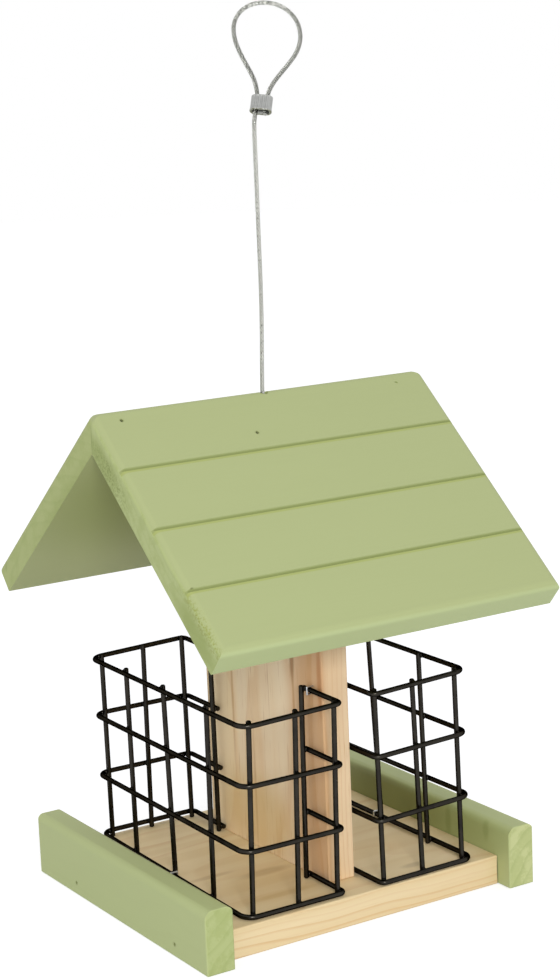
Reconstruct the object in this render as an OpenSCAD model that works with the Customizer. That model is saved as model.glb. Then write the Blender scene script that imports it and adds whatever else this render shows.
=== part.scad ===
// Hanging suet feeder: a standing post board on a base, with an open-topped wire cage
// stapled on each side of it, under a pitched roof that slides up its hanging cable.
// X runs along the ridge, -Y is the front and +Z is up. The origin is the centre of the
// underside of the base board.

/* [Boards] */
// Thickness of every board
board_t = 19; // [16:0.5:22]
// Radius of the sanded edges of the bare boards
edge_ease = 1; // [0.5:0.25:2]

/* [Base] */
// Base board along X, between the rails
base_x = 203; // [190:1:230]
// Base board from front to back
base_y = 192; // [180:1:220]
// Length of each rail, from front to back
rail_len = 216; // [190:1:250]
// Height of each rail
rail_h = 40; // [30:1:60]
// Radius of the two long top edges of a rail
rail_round = 5; // [2:0.5:8]

/* [Post] */
// Width of the post board, from front to back
post_w = 140; // [120:1:150]
// Height of the post above the base, to the sharp peak of its two slopes
post_h = 275; // [240:1:320]
// Width of the flat that cuts off the peak
peak_flat = 8; // [7:0.5:14]

/* [Roof] */
// Length of the roof along the ridge
roof_len = 241; // [220:1:280]
// Width of each roof board, from ridge to eave
slope_len = 184; // [160:1:200]
// Pitch of the roof in degrees
roof_pitch = 40; // [35:1:45]
// Radius of the ridge and of the outer edges at the eaves and gable ends
roof_round = 4.5; // [2:0.5:8]
// Radius of the two ends of the ridge, seen from the front
ridge_end_round = 7; // [5:0.5:10]
// Grooves that divide each slope into strips
groove_count = 3; // [1:1:5]
// Width of a groove at the surface
groove_w = 2.6; // [1.5:0.1:4]
// Depth of a groove
groove_d = 1.8; // [1:0.1:3]
// Clearance between the roof and the sloped top of the post
seat_gap = 0.3; // [0.2:0.1:1]
// Hole through the ridge for the cable
ridge_hole_d = 6; // [6:0.5:8]
// Distance of that hole from the middle of the ridge
ridge_hole_x = 1; // [0.5:0.25:1]

/* [Roof blocks] */
// Width of the three-cornered guide blocks, from front to back
block_w = 102; // [80:1:130]
// Clearance between each guide block and the post
block_gap = 1.2; // [0.6:0.1:2]

/* [Cages] */
// Wire diameter with its black coating
wire_d = 3.2; // [2.5:0.1:4]
// Ring, centre line to centre line along X
cage_depth = 70; // [60:1:76]
// Ring, centre line to centre line along Y
cage_len = 185; // [170:1:186]
// Height from one ring to the next
ring_spacing = 40; // [30:1:44]
// Length of each end of a ring that turns back against the post
cage_return = 40.4; // [34:0.2:50]
// Bend radius at the two outer corners of a ring
outer_bend = 8; // [6:0.5:12]
// Bend radius at the two corners beside the post
inner_bend = 4; // [3.5:0.5:8]
// How far the uprights run past the middle of the top and bottom rings
wire_overhang = 2.4; // [2:0.1:4]
// Clearance between a ring and the face of the post
wire_gap = 0.3; // [0.1:0.1:1]
// How deep the welds draw the wires into each other
weld_sink = 0.2; // [0.1:0.1:0.5]

/* [Brads and screws] */
// Shank of the brads
brad_d = 1.2; // [1:0.1:1.6]
// Head of the brads
brad_head_d = 1.8; // [1.7:0.1:2.6]
// Thickness of a brad's head
brad_head_t = 0.8; // [0.6:0.1:1.2]
// Length of a brad with its head
brad_len = 34; // [28:1:36]
// How deep a brad's head is punched in
brad_sink = 1; // [0.4:0.1:1.5]
// Clearance of a brad in its hole
brad_gap = 0.1; // [0.05:0.05:0.2]
// Shank of the wood screws under the post
screw_d = 4; // [3:0.5:5]
// Length of the wood screws
screw_len = 45; // [35:1:60]
// Head of the wood screws
screw_head_d = 8; // [7:0.5:10]
// Distance between the two wood screws
screw_spacing = 90; // [60:1:100]
// Clearance round the screws
screw_gap = 0.1; // [0.05:0.05:0.5]

/* [Staples] */
// Wire of the staples
staple_d = 1.2; // [0.8:0.1:1.6]
// Clearance between a staple and the wire that it straddles
staple_gap = 0.1; // [0.05:0.05:0.4]
// How deep the staple legs go into the wood
staple_leg = 8; // [5:1:9]

/* [Cable] */
// Cable with its clear sleeve
cable_d = 2.8; // [2:0.1:3]
// Bore for the cable down through the peak of the post
post_bore_d = 5; // [4:0.5:6]
// Cross hole in the post that holds the cable's end stop
cross_hole_d = 14; // [12:0.5:16]
// Height of the cross hole below the sharp peak of the post
cross_drop = 26; // [24:1:36]
// Crimped stop on the lower end of the cable
stop_d = 8; // [6:0.5:10]
// Length of the stop
stop_len = 9; // [6:0.5:9]
// Length of the ferrule that closes the loop
ferrule_len = 10; // [8:0.5:10]
// Thickness of the ferrule
ferrule_t = 7.2; // [6:0.1:9]
// Distance between the two bores of the ferrule
ferrule_spacing = 6; // [5.8:0.1:6.2]
// Clearance of the cable in the ferrule and the stop
crimp_gap = 0.1; // [0.05:0.05:0.2]

/* [Hidden] */

// Facets of the round parts in the preview
$fn = 48;

// Extra length of a cutting tool past the surface that it cuts
cut = 1;

painted = "#AEBB85";
bare_pine = "#DFC596";
black = "#2B2A28";
silver = "#B9BBBD";

// Heights worked out from the boards
peak_z = board_t + post_h;
inner_ridge_z = peak_z + seat_gap/cos(roof_pitch);
ridge_z = inner_ridge_z + board_t/cos(roof_pitch);
rail_x = (base_x + board_t)/2;

// Centre lines of the cage rings, for the cage on the +X side
ring_in = board_t/2 + wire_gap + wire_d/2;
ring_out = ring_in + cage_depth;
ring_half = cage_len/2;
wire_pitch = wire_d - weld_sink;
bottom_ring_z = board_t + wire_overhang;
cage_h = 3*ring_spacing;

// Clearance under the feet of the uprights
foot_gap = 0.15;

// The cages are bent and welded by hand, so none is quite true. Each is given as it stands
// at its foot, at its bottom ring, and at its rim, at its top ring: out from the post,
// to the back, and turned about Z.
left_foot = [0.6, 0.5, 0.4];
left_rim = [1.02, -1.1, -0.65];
right_foot = [0.9, -2.6, 0.5];
right_rim = [0.8, -0.1, 0];

// Each ring from the bottom: rise over its even height, tilt up to the back and outwards
left_set = [[0.3, 0.45, 0], [1.3, 0.5, 0.3], [2, 0.6, 0.35], [0.5, 1.05, -1.15]];
right_set = [[0, 0, 0], [0.15, -0.1, 1.6], [1.6, 0.25, 1.7], [1.3, 0.1, 2.1]];

// How far along its wall each upright's foot and top are from their even places: those in
// the middle of the front and the back end, then those from front to back of the long side
left_along = [[-3.3, -3.6], [-0.9, -2.5], [-2.6, -0.6], [-1.3, 4.6], [3, 4.6]];
right_along = [[-2.3, -3.7], [0, 0], [-2.6, -0.9], [2.2, 9], [0, 0]];

// Brads: along the rails, along the ridge and in the guide blocks
rail_brad_y = [-70, 56];
rail_brad_z = 8;
ridge_brad_x = [-103, 97];
ridge_brad_down = 9;
block_x = board_t + block_gap;
block_brad_down = 33;

// Staples: from the tip of a ring's return, and from the middle of its long side
top_staple_in = 7;
left_low_staple_y = -5;
right_low_staple_y = 12;

// The loop stands in a plane turned about the cable, and leans back in it
loop_turn = -32;
ferrule_lean = 34;
ferrule_tilt = 8;
ferrule_centre = [7.1, 6.2, 493.2];

// Route of the cable from its stop to the tail in the ferrule: across, back and up
cable_route = [
    [0, 0, 262], [0, 0, 274], [0, 0, 290], [0.1, 0, 306], [0.3, 0, 320], [0.8, 0.2, 336],
    [1.4, 0.3, 352], [1.9, 0.4, 372], [2.1, 0.5, 395], [2.1, 0.5, 418], [2.1, 0.5, 440],
    [2.1, 0.5, 460], [2.1, 0.5, 474], [2.2, 0.6, 481], [2.5, 1.1, 484.7], [3, 2.3, 487.5],
    [3.4, 3.6, 489.4], [4.1, 6.4, 493.5], [4.8, 9.2, 497.6], [4.5, 12.1, 502.5],
    [3.5, 14.8, 507.2], [1.6, 17.4, 511.9], [-0.7, 19.9, 516.5], [-3.1, 22.2, 521.2],
    [-5.3, 24.5, 526.1], [-7.1, 26.6, 531.1], [-8, 28.7, 536.3], [-7.8, 30.7, 541.5],
    [-6, 32.4, 546.2], [-2.6, 33.6, 550.1], [2.1, 34.5, 552.8], [7.7, 34.9, 554.1],
    [13.5, 34.9, 554], [19.2, 34.4, 552.6], [24.2, 33.6, 549.9], [28.3, 32.4, 546.1],
    [31.1, 30.7, 541.6], [32.5, 28.8, 536.6], [32.6, 26.7, 531.4], [31.3, 24.6, 526.5],
    [28.9, 22.6, 521.9], [25.6, 20.5, 517.7], [22, 18.4, 513.7], [18.3, 16.2, 509.7],
    [14.9, 13.9, 505.6], [12.3, 11.4, 501.4], [10.8, 8.7, 497], [10.1, 5.9, 492.9],
    [9.4, 3.2, 488.8], [9.2, 2.5, 487.8]
];
cable_sides = 8;

// The waste outside a quarter round, for a corner at the origin of a shape that lies
// towards -X and -Y
module corner_waste(r) {
    difference() {
        translate([-r, -r]) square(r + cut);
        translate([-r, -r]) circle(r);
    }
}

// Rectangle about the origin with four rounded corners
module round_rect(w, h, r) {
    difference() {
        square([w, h], center = true);
        for (k = [0:3])
            rotate(90*k)
                translate((k % 2 == 0 ? [w, h] : [h, w])/2)
                    corner_waste(r);
    }
}

// A flat shape in Y and Z, drawn out along X about the middle
module along_x(length) {
    rotate([90, 0, 90]) linear_extrude(length, center = true) children();
}

// A flat shape in X and Z, drawn out along Y about the middle
module along_y(length) {
    rotate([90, 0, 0]) linear_extrude(length, center = true) children();
}

// Board standing on Z = 0 with all twelve edges sanded
module eased_block(size, r) {
    translate([0, 0, size.z/2])
        intersection() {
            linear_extrude(size.z, center = true) round_rect(size.x, size.y, r);
            along_x(size.x) round_rect(size.y, size.z, r);
            along_y(size.y) round_rect(size.x, size.z, r);
        }
}

// Brad driven down from a surface at Z = 0, with its head punched under the surface
module brad() {
    translate([0, 0, -brad_sink - brad_head_t]) cylinder(d = brad_head_d, h = brad_head_t);
    translate([0, 0, -brad_sink - brad_len]) cylinder(d = brad_d, h = brad_len);
}

// The hole that a brad makes
module brad_hole() {
    translate([0, 0, -brad_sink - brad_head_t - brad_gap])
        cylinder(d = brad_head_d + 2*brad_gap, h = brad_sink + brad_head_t + brad_gap + cut);
    translate([0, 0, -brad_sink - brad_len - brad_gap])
        cylinder(d = brad_d + 2*brad_gap, h = brad_len + brad_sink);
}

// Places on the outer face of each rail
module at_rail_brads() {
    for (side = [-1, 1], y = rail_brad_y)
        translate([side*(base_x/2 + board_t), y, rail_brad_z])
            rotate([0, 90*side, 0])
                children();
}

// Places under the base where the post is screwed on
module at_post_screws() {
    for (side = [-1, 1])
        translate([0, side*screw_spacing/2, 0])
            children();
}

module base_board() {
    color(bare_pine)
        difference() {
            eased_block([base_x, base_y, board_t], edge_ease);
            at_rail_brads() brad_hole();
            at_post_screws() post_screw_hole();
        }
}

// Rail with two large rounds along its top, as seen from its end
module rail_section() {
    translate([0, rail_h/2])
        difference() {
            round_rect(board_t, rail_h, edge_ease);
            for (side = [0, 1])
                mirror([side, 0])
                    translate([board_t/2, rail_h/2])
                        corner_waste(rail_round);
        }
}

module rail(side) {
    color(painted)
        difference() {
            translate([side*rail_x, 0, 0])
                intersection() {
                    along_y(rail_len) rail_section();
                    eased_block([board_t, rail_len, rail_h], edge_ease);
                }
            at_rail_brads() brad_hole();
        }
}

module left_rail() {
    rail(-1);
}

module right_rail() {
    rail(1);
}

module rail_brads() {
    color(silver)
        at_rail_brads() brad();
}

// Shape under both slopes of the roof, up to a ridge at a height, with its peak cut flat
module gable(w, top_z, flat, bottom_z) {
    slope = tan(roof_pitch);
    polygon([
        [-w/2, bottom_z], [w/2, bottom_z], [w/2, top_z - w/2*slope],
        [flat/2, top_z - flat/2*slope], [-flat/2, top_z - flat/2*slope],
        [-w/2, top_z - w/2*slope]
    ]);
}

module center_post() {
    color(bare_pine)
        difference() {
            intersection() {
                translate([0, 0, board_t])
                    eased_block([board_t, post_w, post_h], edge_ease);
                along_x(board_t + cut) gable(post_w + cut, peak_z, peak_flat, 0);
            }
            translate([0, 0, peak_z - cross_drop])
                cylinder(d = post_bore_d, h = cross_drop + cut);
            translate([0, 0, peak_z - cross_drop])
                rotate([0, 90, 0])
                    cylinder(d = cross_hole_d, h = board_t + cut, center = true);
            at_post_screws() post_screw_hole();
        }
}

// Countersunk head, as an outline to turn about Z: flush with Z = sink at its face
screw_sink = 0.5;
screw_cone = (screw_head_d - screw_d)/2;

module screw_body(gap) {
    rotate_extrude()
        polygon([
            [0, screw_sink - (gap > 0 ? screw_sink + cut : 0)],
            [screw_head_d/2 + gap, screw_sink - (gap > 0 ? screw_sink + cut : 0)],
            [screw_head_d/2 + gap, screw_sink],
            [screw_d/2 + gap, screw_sink + screw_cone],
            [screw_d/2 + gap, screw_sink + screw_len - screw_d + gap],
            [0, screw_sink + screw_len + gap]
        ]);
}

module post_screw_hole() {
    screw_body(screw_gap);
}

// Wood screws with a cross recess in the head
module post_screws() {
    recess_l = screw_head_d*0.55;
    recess_w = screw_head_d/8;
    recess_depth = screw_head_d/5;
    color(silver)
        at_post_screws()
            difference() {
                screw_body(0);
                translate([0, 0, screw_sink])
                    for (turn = [0, 90])
                        rotate(turn)
                            cube([recess_l, recess_w, 2*recess_depth], center = true);
            }
}

// How a cage stands at a height, between its foot and its rim
function stand(foot, rim, z) = foot + (rim - foot)*(z - bottom_ring_z)/cage_h;

// Puts a part of the true +X cage where the cage stands
module at_stand(s) {
    translate([ring_in + s.x, s.y, 0])
        rotate(s.z)
            translate([-ring_in, 0, 0])
                children();
}

// Where a point of the true cage comes to
function placed(s, p) = [
    ring_in + s.x + (p.x - ring_in)*cos(s.z) - p.y*sin(s.z),
    s.y + (p.x - ring_in)*sin(s.z) + p.y*cos(s.z)
];

// Height of the middle of a ring, counted from the bottom
function ring_height(set, k) = bottom_ring_z + k*ring_spacing + set[k].x;

// Puts what belongs to a ring at Z = 0 where that ring of a cage stands
module at_ring(foot, rim, set, k) {
    z = ring_height(set, k);
    middle = (ring_in + ring_out)/2;
    at_stand(stand(foot, rim, z))
        translate([middle, 0, z])
            rotate([set[k].y, -set[k].z, 0])
                translate([-middle, 0, 0])
                    children();
}

module at_left_ring(k) {
    mirror([1, 0, 0]) at_ring(left_foot, left_rim, left_set, k) children();
}

module at_right_ring(k) {
    at_ring(right_foot, right_rim, right_set, k) children();
}

// One true ring of the +X cage: the long side, two bends, the ends and the two returns
module cage_ring() {
    long_side = cage_len - 2*outer_bend;
    end_side = cage_depth - outer_bend - inner_bend;
    return_side = cage_return - inner_bend;
    color(black) {
        translate([ring_out, long_side/2, 0])
            rotate([90, 0, 0])
                cylinder(d = wire_d, h = long_side);
        for (back = [0, 1])
            mirror([0, back, 0]) {
                translate([ring_out - outer_bend, outer_bend - ring_half, 0])
                    rotate(-90)
                        bend(outer_bend);
                translate([ring_in + inner_bend, -ring_half, 0])
                    rotate([0, 90, 0])
                        cylinder(d = wire_d, h = end_side);
                translate([ring_in + inner_bend, inner_bend - ring_half, 0])
                    rotate(180)
                        bend(inner_bend);
                translate([ring_in, cage_return - ring_half, 0])
                    rotate([90, 0, 0])
                        cylinder(d = wire_d, h = return_side);
            }
    }
}

// Quarter bend of wire about the origin
module bend(r) {
    rotate_extrude(angle = 90)
        translate([r, 0])
            circle(d = wire_d);
}

// Straight wire with both ends chamfered
module wire_rod(length) {
    r = wire_d/2;
    c = wire_d/6;
    rotate_extrude()
        polygon([[0, 0], [r - c, 0], [r, c], [r, length - c], [r - c, length], [0, length]]);
}

// Where an upright stands inside a bend: turn is measured from the ring's end
function in_bend(centre, r, turn) =
    [centre.x + (r - wire_pitch)*sin(turn), centre.y - (r - wire_pitch)*cos(turn)];

outer_turn = 20;
inner_turn = -45;

// Uprights at the corners and return ends of the front of the true +X cage
corner_uprights = [
    in_bend([ring_out - outer_bend, outer_bend - ring_half], outer_bend, outer_turn),
    in_bend([ring_in + inner_bend, inner_bend - ring_half], inner_bend, inner_turn),
    [ring_in + wire_pitch, cage_return - wire_d/2 - ring_half]
];

// Foot and top of all eleven uprights of the true +X cage
function upright_ends(along) = [
    for (back = [1, -1], p = corner_uprights) [[p.x, back*p.y], [p.x, back*p.y]],
    for (k = [0, 1])
        let (x = (ring_in + ring_out)/2, y = (2*k - 1)*(ring_half - wire_pitch))
            [[x + along[k][0], y], [x + along[k][1], y]],
    for (k = [-1, 0, 1])
        let (x = ring_out - wire_pitch, y = k*cage_len/4, a = along[k + 3])
            [[x, y + a[0]], [x, y + a[1]]]
];

// Straight wire from one point up to another
module rod_between(a, b) {
    run = b - a;
    translate(a)
        rotate([0, acos(run.z/norm(run)), atan2(run.y, run.x)])
            wire_rod(norm(run));
}

// Height to which the upright at a point of the true cage runs past the leaning top ring
function upright_top(set, p) =
    ring_height(set, 3) + wire_overhang + p.y*tan(set[3].y)
    + (p.x - (ring_in + ring_out)/2)*tan(set[3].z);

module cage_uprights(foot, rim, set, along) {
    foot_z = board_t + foot_gap;
    color(black)
        for (ends = upright_ends(along)) {
            top_z = upright_top(set, ends[1]);
            a = placed(stand(foot, rim, foot_z), ends[0]);
            b = placed(stand(foot, rim, top_z), ends[1]);
            rod_between([a.x, a.y, foot_z], [b.x, b.y, top_z]);
        }
}

// Staple over a wire that runs along Y through the origin, with its legs down -Z
module staple() {
    leg_x = (wire_d + staple_d)/2 + staple_gap;
    crown_z = (wire_d + staple_d)/2 + staple_gap;
    translate([-leg_x, 0, crown_z])
        rotate([0, 90, 0])
            cylinder(d = staple_d, h = 2*leg_x);
    for (side = [-1, 1])
        translate([side*leg_x, 0, -wire_d/2 - staple_leg]) {
            cylinder(d = staple_d, h = staple_leg + wire_d/2 + crown_z);
            translate([0, 0, staple_leg + wire_d/2 + crown_z])
                sphere(d = staple_d);
        }
}

// Staples over the top ring's returns, into the post
module rim_staples() {
    y = ring_half - cage_return + top_staple_in;
    color(silver)
        for (side = [-1, 1])
            translate([ring_in, side*y, 0])
                rotate([0, 90, 0])
                    staple();
}

// Staple over the bottom ring's long side, into the base
module foot_staple(y) {
    color(silver)
        translate([ring_out, y, 0])
            staple();
}

module left_cage_bottom_ring() {
    at_left_ring(0) cage_ring();
}

module left_cage_lower_ring() {
    at_left_ring(1) cage_ring();
}

module left_cage_upper_ring() {
    at_left_ring(2) cage_ring();
}

module left_cage_top_ring() {
    at_left_ring(3) cage_ring();
}

module left_cage_uprights() {
    mirror([1, 0, 0]) cage_uprights(left_foot, left_rim, left_set, left_along);
}

module left_cage_staples() {
    at_left_ring(3) rim_staples();
    at_left_ring(0) foot_staple(left_low_staple_y);
}

module right_cage_bottom_ring() {
    at_right_ring(0) cage_ring();
}

module right_cage_lower_ring() {
    at_right_ring(1) cage_ring();
}

module right_cage_upper_ring() {
    at_right_ring(2) cage_ring();
}

module right_cage_top_ring() {
    at_right_ring(3) cage_ring();
}

module right_cage_uprights() {
    cage_uprights(right_foot, right_rim, right_set, right_along);
}

module right_cage_staples() {
    at_right_ring(3) rim_staples();
    at_right_ring(0) foot_staple(right_low_staple_y);
}

// Section of the back roof board: X along the slope from the ridge, Y out of the roof.
// Its edge at the ridge is mitred, so that the two boards meet in the plane Y = 0.
module roof_section() {
    mitre = tan(roof_pitch);
    difference() {
        polygon([[0, 0], [slope_len, 0], [slope_len, -board_t], [board_t*mitre, -board_t]]);
        translate([slope_len, 0]) corner_waste(roof_round);
        translate([slope_len, -board_t]) rotate(-90) corner_waste(edge_ease);
        for (k = [1:groove_count])
            translate([k*slope_len/(groove_count + 1), 0])
                polygon([[-groove_w/2, 0], [0, -groove_d], [groove_w/2, 0], [0, cut]]);
        difference() {
            polygon([[0, 0], [roof_round*mitre, cut], [roof_round*mitre, -roof_round]]);
            translate([roof_round*mitre, -roof_round]) circle(roof_round);
        }
    }
}

// From the flat slope frame, where Z = 0 is the outer face, to the back slope
module on_back_slope() {
    translate([0, 0, ridge_z]) rotate([-roof_pitch, 0, 0]) children();
}

// Waste along the outer edge at each gable end, in the slope frame
module gable_waste() {
    for (side = [0, 1])
        mirror([side, 0, 0])
            translate([roof_len/2, slope_len/2, 0])
                along_y(2*slope_len)
                    corner_waste(roof_round);
}

// Waste at each end of the ridge, where its round turns down
module ridge_end_waste() {
    ridge_top_z = ridge_z - roof_round*(1/cos(roof_pitch) - 1);
    for (side = [0, 1])
        mirror([side, 0, 0])
            translate([roof_len/2, 0, ridge_top_z])
                along_y(slope_len)
                    corner_waste(ridge_end_round);
}

// Brads in the front slope: two along the mitre, one into the left guide block
module at_ridge_brads() {
    mirror([0, 1, 0])
        on_back_slope()
            for (x = ridge_brad_x)
                translate([x, ridge_brad_down, 0])
                    children();
}

// Brads into the guide blocks: the left one from the front, the right one from the back
module at_block_brads() {
    for (turn = [0, 180])
        rotate(turn)
            on_back_slope()
                translate([block_x, block_brad_down, 0])
                    children();
}

module back_roof_blank() {
    on_back_slope()
        difference() {
            along_x(roof_len) roof_section();
            gable_waste();
        }
}

module roof_holes() {
    ridge_end_waste();
    translate([ridge_hole_x, 0, 0])
        rotate(90)
            cylinder(d = ridge_hole_d, h = ridge_z + cut);
    at_ridge_brads() brad_hole();
    at_block_brads() brad_hole();
}

module roof_back_board() {
    color(painted)
        difference() {
            back_roof_blank();
            roof_holes();
        }
}

module roof_front_board() {
    color(painted)
        difference() {
            mirror([0, 1, 0]) back_roof_blank();
            roof_holes();
        }
}

module ridge_brads() {
    color(silver)
        at_ridge_brads() brad();
}

// Guide block under the ridge, beside the post
module roof_block(side) {
    block_h = block_w/2*tan(roof_pitch);
    color(painted)
        difference() {
            translate([side*block_x, 0, 0])
                along_x(board_t)
                    gable(block_w, inner_ridge_z, peak_flat, inner_ridge_z - block_h - edge_ease);
            at_block_brads() brad_hole();
        }
}

module roof_left_block() {
    roof_block(-1);
}

module roof_right_block() {
    roof_block(1);
}

module block_brads() {
    color(silver)
        at_block_brads() brad();
}

// A point of the cable's route between its second and third of four route points
function blend(a, b, c, d, t) =
    0.5*((2*b) + (c - a)*t + (2*a - 5*b + 4*c - d)*t*t + (3*b - a - 3*c + d)*t*t*t);

// Steps between two route points, so that the rings lie about two diameters apart
function steps(b, c) = max(1, round(norm(c - b)/(2.5*cable_d)));

function route_point(k) = cable_route[max(0, min(len(cable_route) - 1, k))];

cable_line = [
    for (k = [0:len(cable_route) - 2])
        let (a = route_point(k - 1), b = route_point(k), c = route_point(k + 1),
             d = route_point(k + 2), n = steps(b, c))
            for (s = [0:n - 1]) blend(a, b, c, d, s/n),
    route_point(len(cable_route) - 1)
];

function line_point(k) = cable_line[max(0, min(len(cable_line) - 1, k))];

function unit(v) = v/norm(v);

// Direction of the cable at a point of its line
function heading(k) = unit(line_point(k + 1) - line_point(k - 1));

// Eight points round the line, turned so that the tube doesn't twist
function ring_points(k) =
    let (side = unit(cross([0, 1, 0], heading(k))), back = cross(heading(k), side))
        [for (j = [0:cable_sides - 1])
            line_point(k) + cable_d/2*(side*cos(360*j/cable_sides) + back*sin(360*j/cable_sides))];

function side_faces(k) =
    [for (j = [0:cable_sides - 1])
        let (a = k*cable_sides + j, b = k*cable_sides + (j + 1) % cable_sides)
            each [[a, a + cable_sides, b], [b, a + cable_sides, b + cable_sides]]];

module hanging_cable() {
    last = len(cable_line) - 1;
    points = [for (k = [0:last]) each ring_points(k)];
    start_cap = [for (j = [1:cable_sides - 2]) [0, j, j + 1]];
    end_cap = [for (j = [1:cable_sides - 2]) [0, j + 1, j] + last*cable_sides*[1, 1, 1]];
    faces = concat([for (k = [0:last - 1]) each side_faces(k)], start_cap, end_cap);
    color(silver)
        rotate(loop_turn)
            polyhedron(points = points, faces = faces);
}

// Outline of the ferrule: two round lobes joined by a flat, with shallow crimp flutes
module ferrule_outline() {
    flute_r = 1.2;
    flute_depth = 0.35;
    difference() {
        union() {
            square([ferrule_spacing, ferrule_t], center = true);
            for (side = [-1, 1])
                translate([side*ferrule_spacing/2, 0])
                    circle(d = ferrule_t);
        }
        for (side = [-1, 1], k = [-1, 0, 1])
            translate([k*ferrule_spacing/2, side*(ferrule_t/2 + flute_r - flute_depth)])
                circle(flute_r);
        for (side = [-1, 1])
            translate([side*ferrule_spacing/2, 0])
                circle(d = cable_d + 2*crimp_gap);
    }
}

module crimp_ferrule() {
    color(silver)
        rotate(loop_turn)
            translate(ferrule_centre)
                rotate([-ferrule_lean, 0, 0])
                    rotate([0, ferrule_tilt, 0])
                        linear_extrude(ferrule_len, center = true)
                            ferrule_outline();
}

// Stop crimped on the lower end of the cable, pulled up against the cross hole's roof
module cable_stop() {
    rise = sqrt(pow(cross_hole_d/2, 2) - pow(stop_d/2, 2)) - seat_gap;
    color(silver)
        translate([0, 0, peak_z - cross_drop + rise - stop_len])
            difference() {
                cylinder(d = stop_d, h = stop_len);
                translate([0, 0, -cut])
                    cylinder(d = cable_d + 2*crimp_gap, h = stop_len + 2*cut);
            }
}

base_board();
left_rail();
right_rail();
rail_brads();
center_post();
post_screws();
left_cage_bottom_ring();
left_cage_lower_ring();
left_cage_upper_ring();
left_cage_top_ring();
left_cage_uprights();
left_cage_staples();
right_cage_bottom_ring();
right_cage_lower_ring();
right_cage_upper_ring();
right_cage_top_ring();
right_cage_uprights();
right_cage_staples();
hanging_cable();
crimp_ferrule();
cable_stop();
roof_front_board();
roof_back_board();
ridge_brads();
roof_left_block();
roof_right_block();
block_brads();
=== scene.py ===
"""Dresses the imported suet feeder: camera, studio, painted and bare pine, wire cages and cable.

The boards, wires, brads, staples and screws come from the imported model. What is modelled here
is the stranded cable in its clear sleeve, the pressed ferrule that closes its loop, and the
weld beads of the cages. Sizes are in millimetres until a mesh or a light takes them.
"""

import logging
import math
from collections.abc import Callable, Iterable
from dataclasses import dataclass
from enum import Enum

import bmesh
import bpy
from mathutils import Matrix, Quaternion, Vector


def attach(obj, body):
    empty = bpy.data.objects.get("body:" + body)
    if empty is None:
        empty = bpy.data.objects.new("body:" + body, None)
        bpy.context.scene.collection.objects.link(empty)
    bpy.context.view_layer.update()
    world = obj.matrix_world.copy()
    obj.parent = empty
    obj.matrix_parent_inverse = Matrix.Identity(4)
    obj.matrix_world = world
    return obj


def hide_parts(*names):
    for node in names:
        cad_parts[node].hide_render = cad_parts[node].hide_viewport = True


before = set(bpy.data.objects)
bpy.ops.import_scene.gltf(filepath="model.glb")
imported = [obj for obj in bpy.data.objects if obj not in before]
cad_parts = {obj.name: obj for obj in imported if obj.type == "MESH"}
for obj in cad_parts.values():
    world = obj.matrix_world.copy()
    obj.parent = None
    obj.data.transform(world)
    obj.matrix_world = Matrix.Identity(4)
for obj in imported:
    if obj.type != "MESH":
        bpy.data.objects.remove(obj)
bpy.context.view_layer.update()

logging.basicConfig(level=logging.INFO, format="%(message)s")
LOG = logging.getLogger("feeder")

Node = bpy.types.Node
Tree = bpy.types.NodeTree
MeshPart = bmesh.types.BMVert | bmesh.types.BMEdge | bmesh.types.BMFace
Point = tuple[float, float, float]
Inputs = dict[str, object]
Step = tuple[Node, str, float]

MM = 0.001
FEEDER = "feeder"
RINGS = 4
# Setting of a map range that eases both of its ends
SMOOTH = {"interpolation_type": "SMOOTHSTEP"}

# The roof that its paint follows, in mm: its pitch, the ridge of its outer faces before that
# is rounded, the width of one strip between grooves, and how far out the eave's face starts
ROOF_PITCH = math.radians(40)
RIDGE_Z = 319.194
STRIP = 46.0
EAVE_Y = 126.0


class Grain(Enum):
    """Way that a board's fibres run: the two axes across them, then the one along them."""

    ALONG_X = (1, 2, 0)
    ALONG_Y = (0, 2, 1)
    ALONG_Z = (0, 1, 2)


class Part(Enum):
    """Kind of mesh part that is picked, by its name in a mesh."""

    VERTICES = "verts"
    EDGES = "edges"
    FACES = "faces"


class Side(Enum):
    """Left or right of the post, by the sign of X."""

    LEFT = -1
    RIGHT = 1


class Slope(Enum):
    """Slope of the roof, by the sign of its Y."""

    FRONT = -1
    BACK = 1

    def downhill(self) -> Point:
        """Returns the way down the slope."""
        return (0.0, self.value * math.cos(ROOF_PITCH), -math.sin(ROOF_PITCH))

    def inward(self) -> Point:
        """Returns the way into the board from its outer face."""
        return (0.0, -self.value * math.sin(ROOF_PITCH), -math.cos(ROOF_PITCH))

    def point(self, x: float, down: float) -> Point:
        """Finds a point of the outer face in mm, from its place along and down from the ridge."""
        way = self.downhill()
        return (x, down * way[1], RIDGE_Z + down * way[2])


# Small tools


def linear(code: str) -> tuple[float, float, float, float]:
    """Turns an sRGB hex colour into linear red, green and blue with full alpha.

    Args:
        code: Colour such as "#AEBB85".

    Returns:
        Linear channels from 0 to 1, with alpha 1.
    """
    shares = [int(code[i : i + 2], 16) / 255 for i in (1, 3, 5)]
    return (*[c / 12.92 if c <= 0.04045 else ((c + 0.055) / 1.055) ** 2.4 for c in shares], 1.0)


def add(tree: Tree, kind: str, inputs: dict | None = None, **settings) -> Node:
    """Adds one shader node with its settings and links.

    Args:
        tree: Node tree that takes the node.
        kind: Type name after "ShaderNode".
        inputs: Input name or number to a value, a socket, or a node whose first live output
            is linked.
        **settings: Properties of the node.

    Returns:
        The new node.
    """
    made = tree.nodes.new("ShaderNode" + kind)
    for name, value in settings.items():
        setattr(made, name, value)
    for key, value in (inputs or {}).items():
        if isinstance(value, Node):
            value = next(s for s in value.outputs if s.enabled)
        if isinstance(value, bpy.types.NodeSocket):
            tree.links.new(value, made.inputs[key])
        else:
            made.inputs[key].default_value = value
    return made


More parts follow.
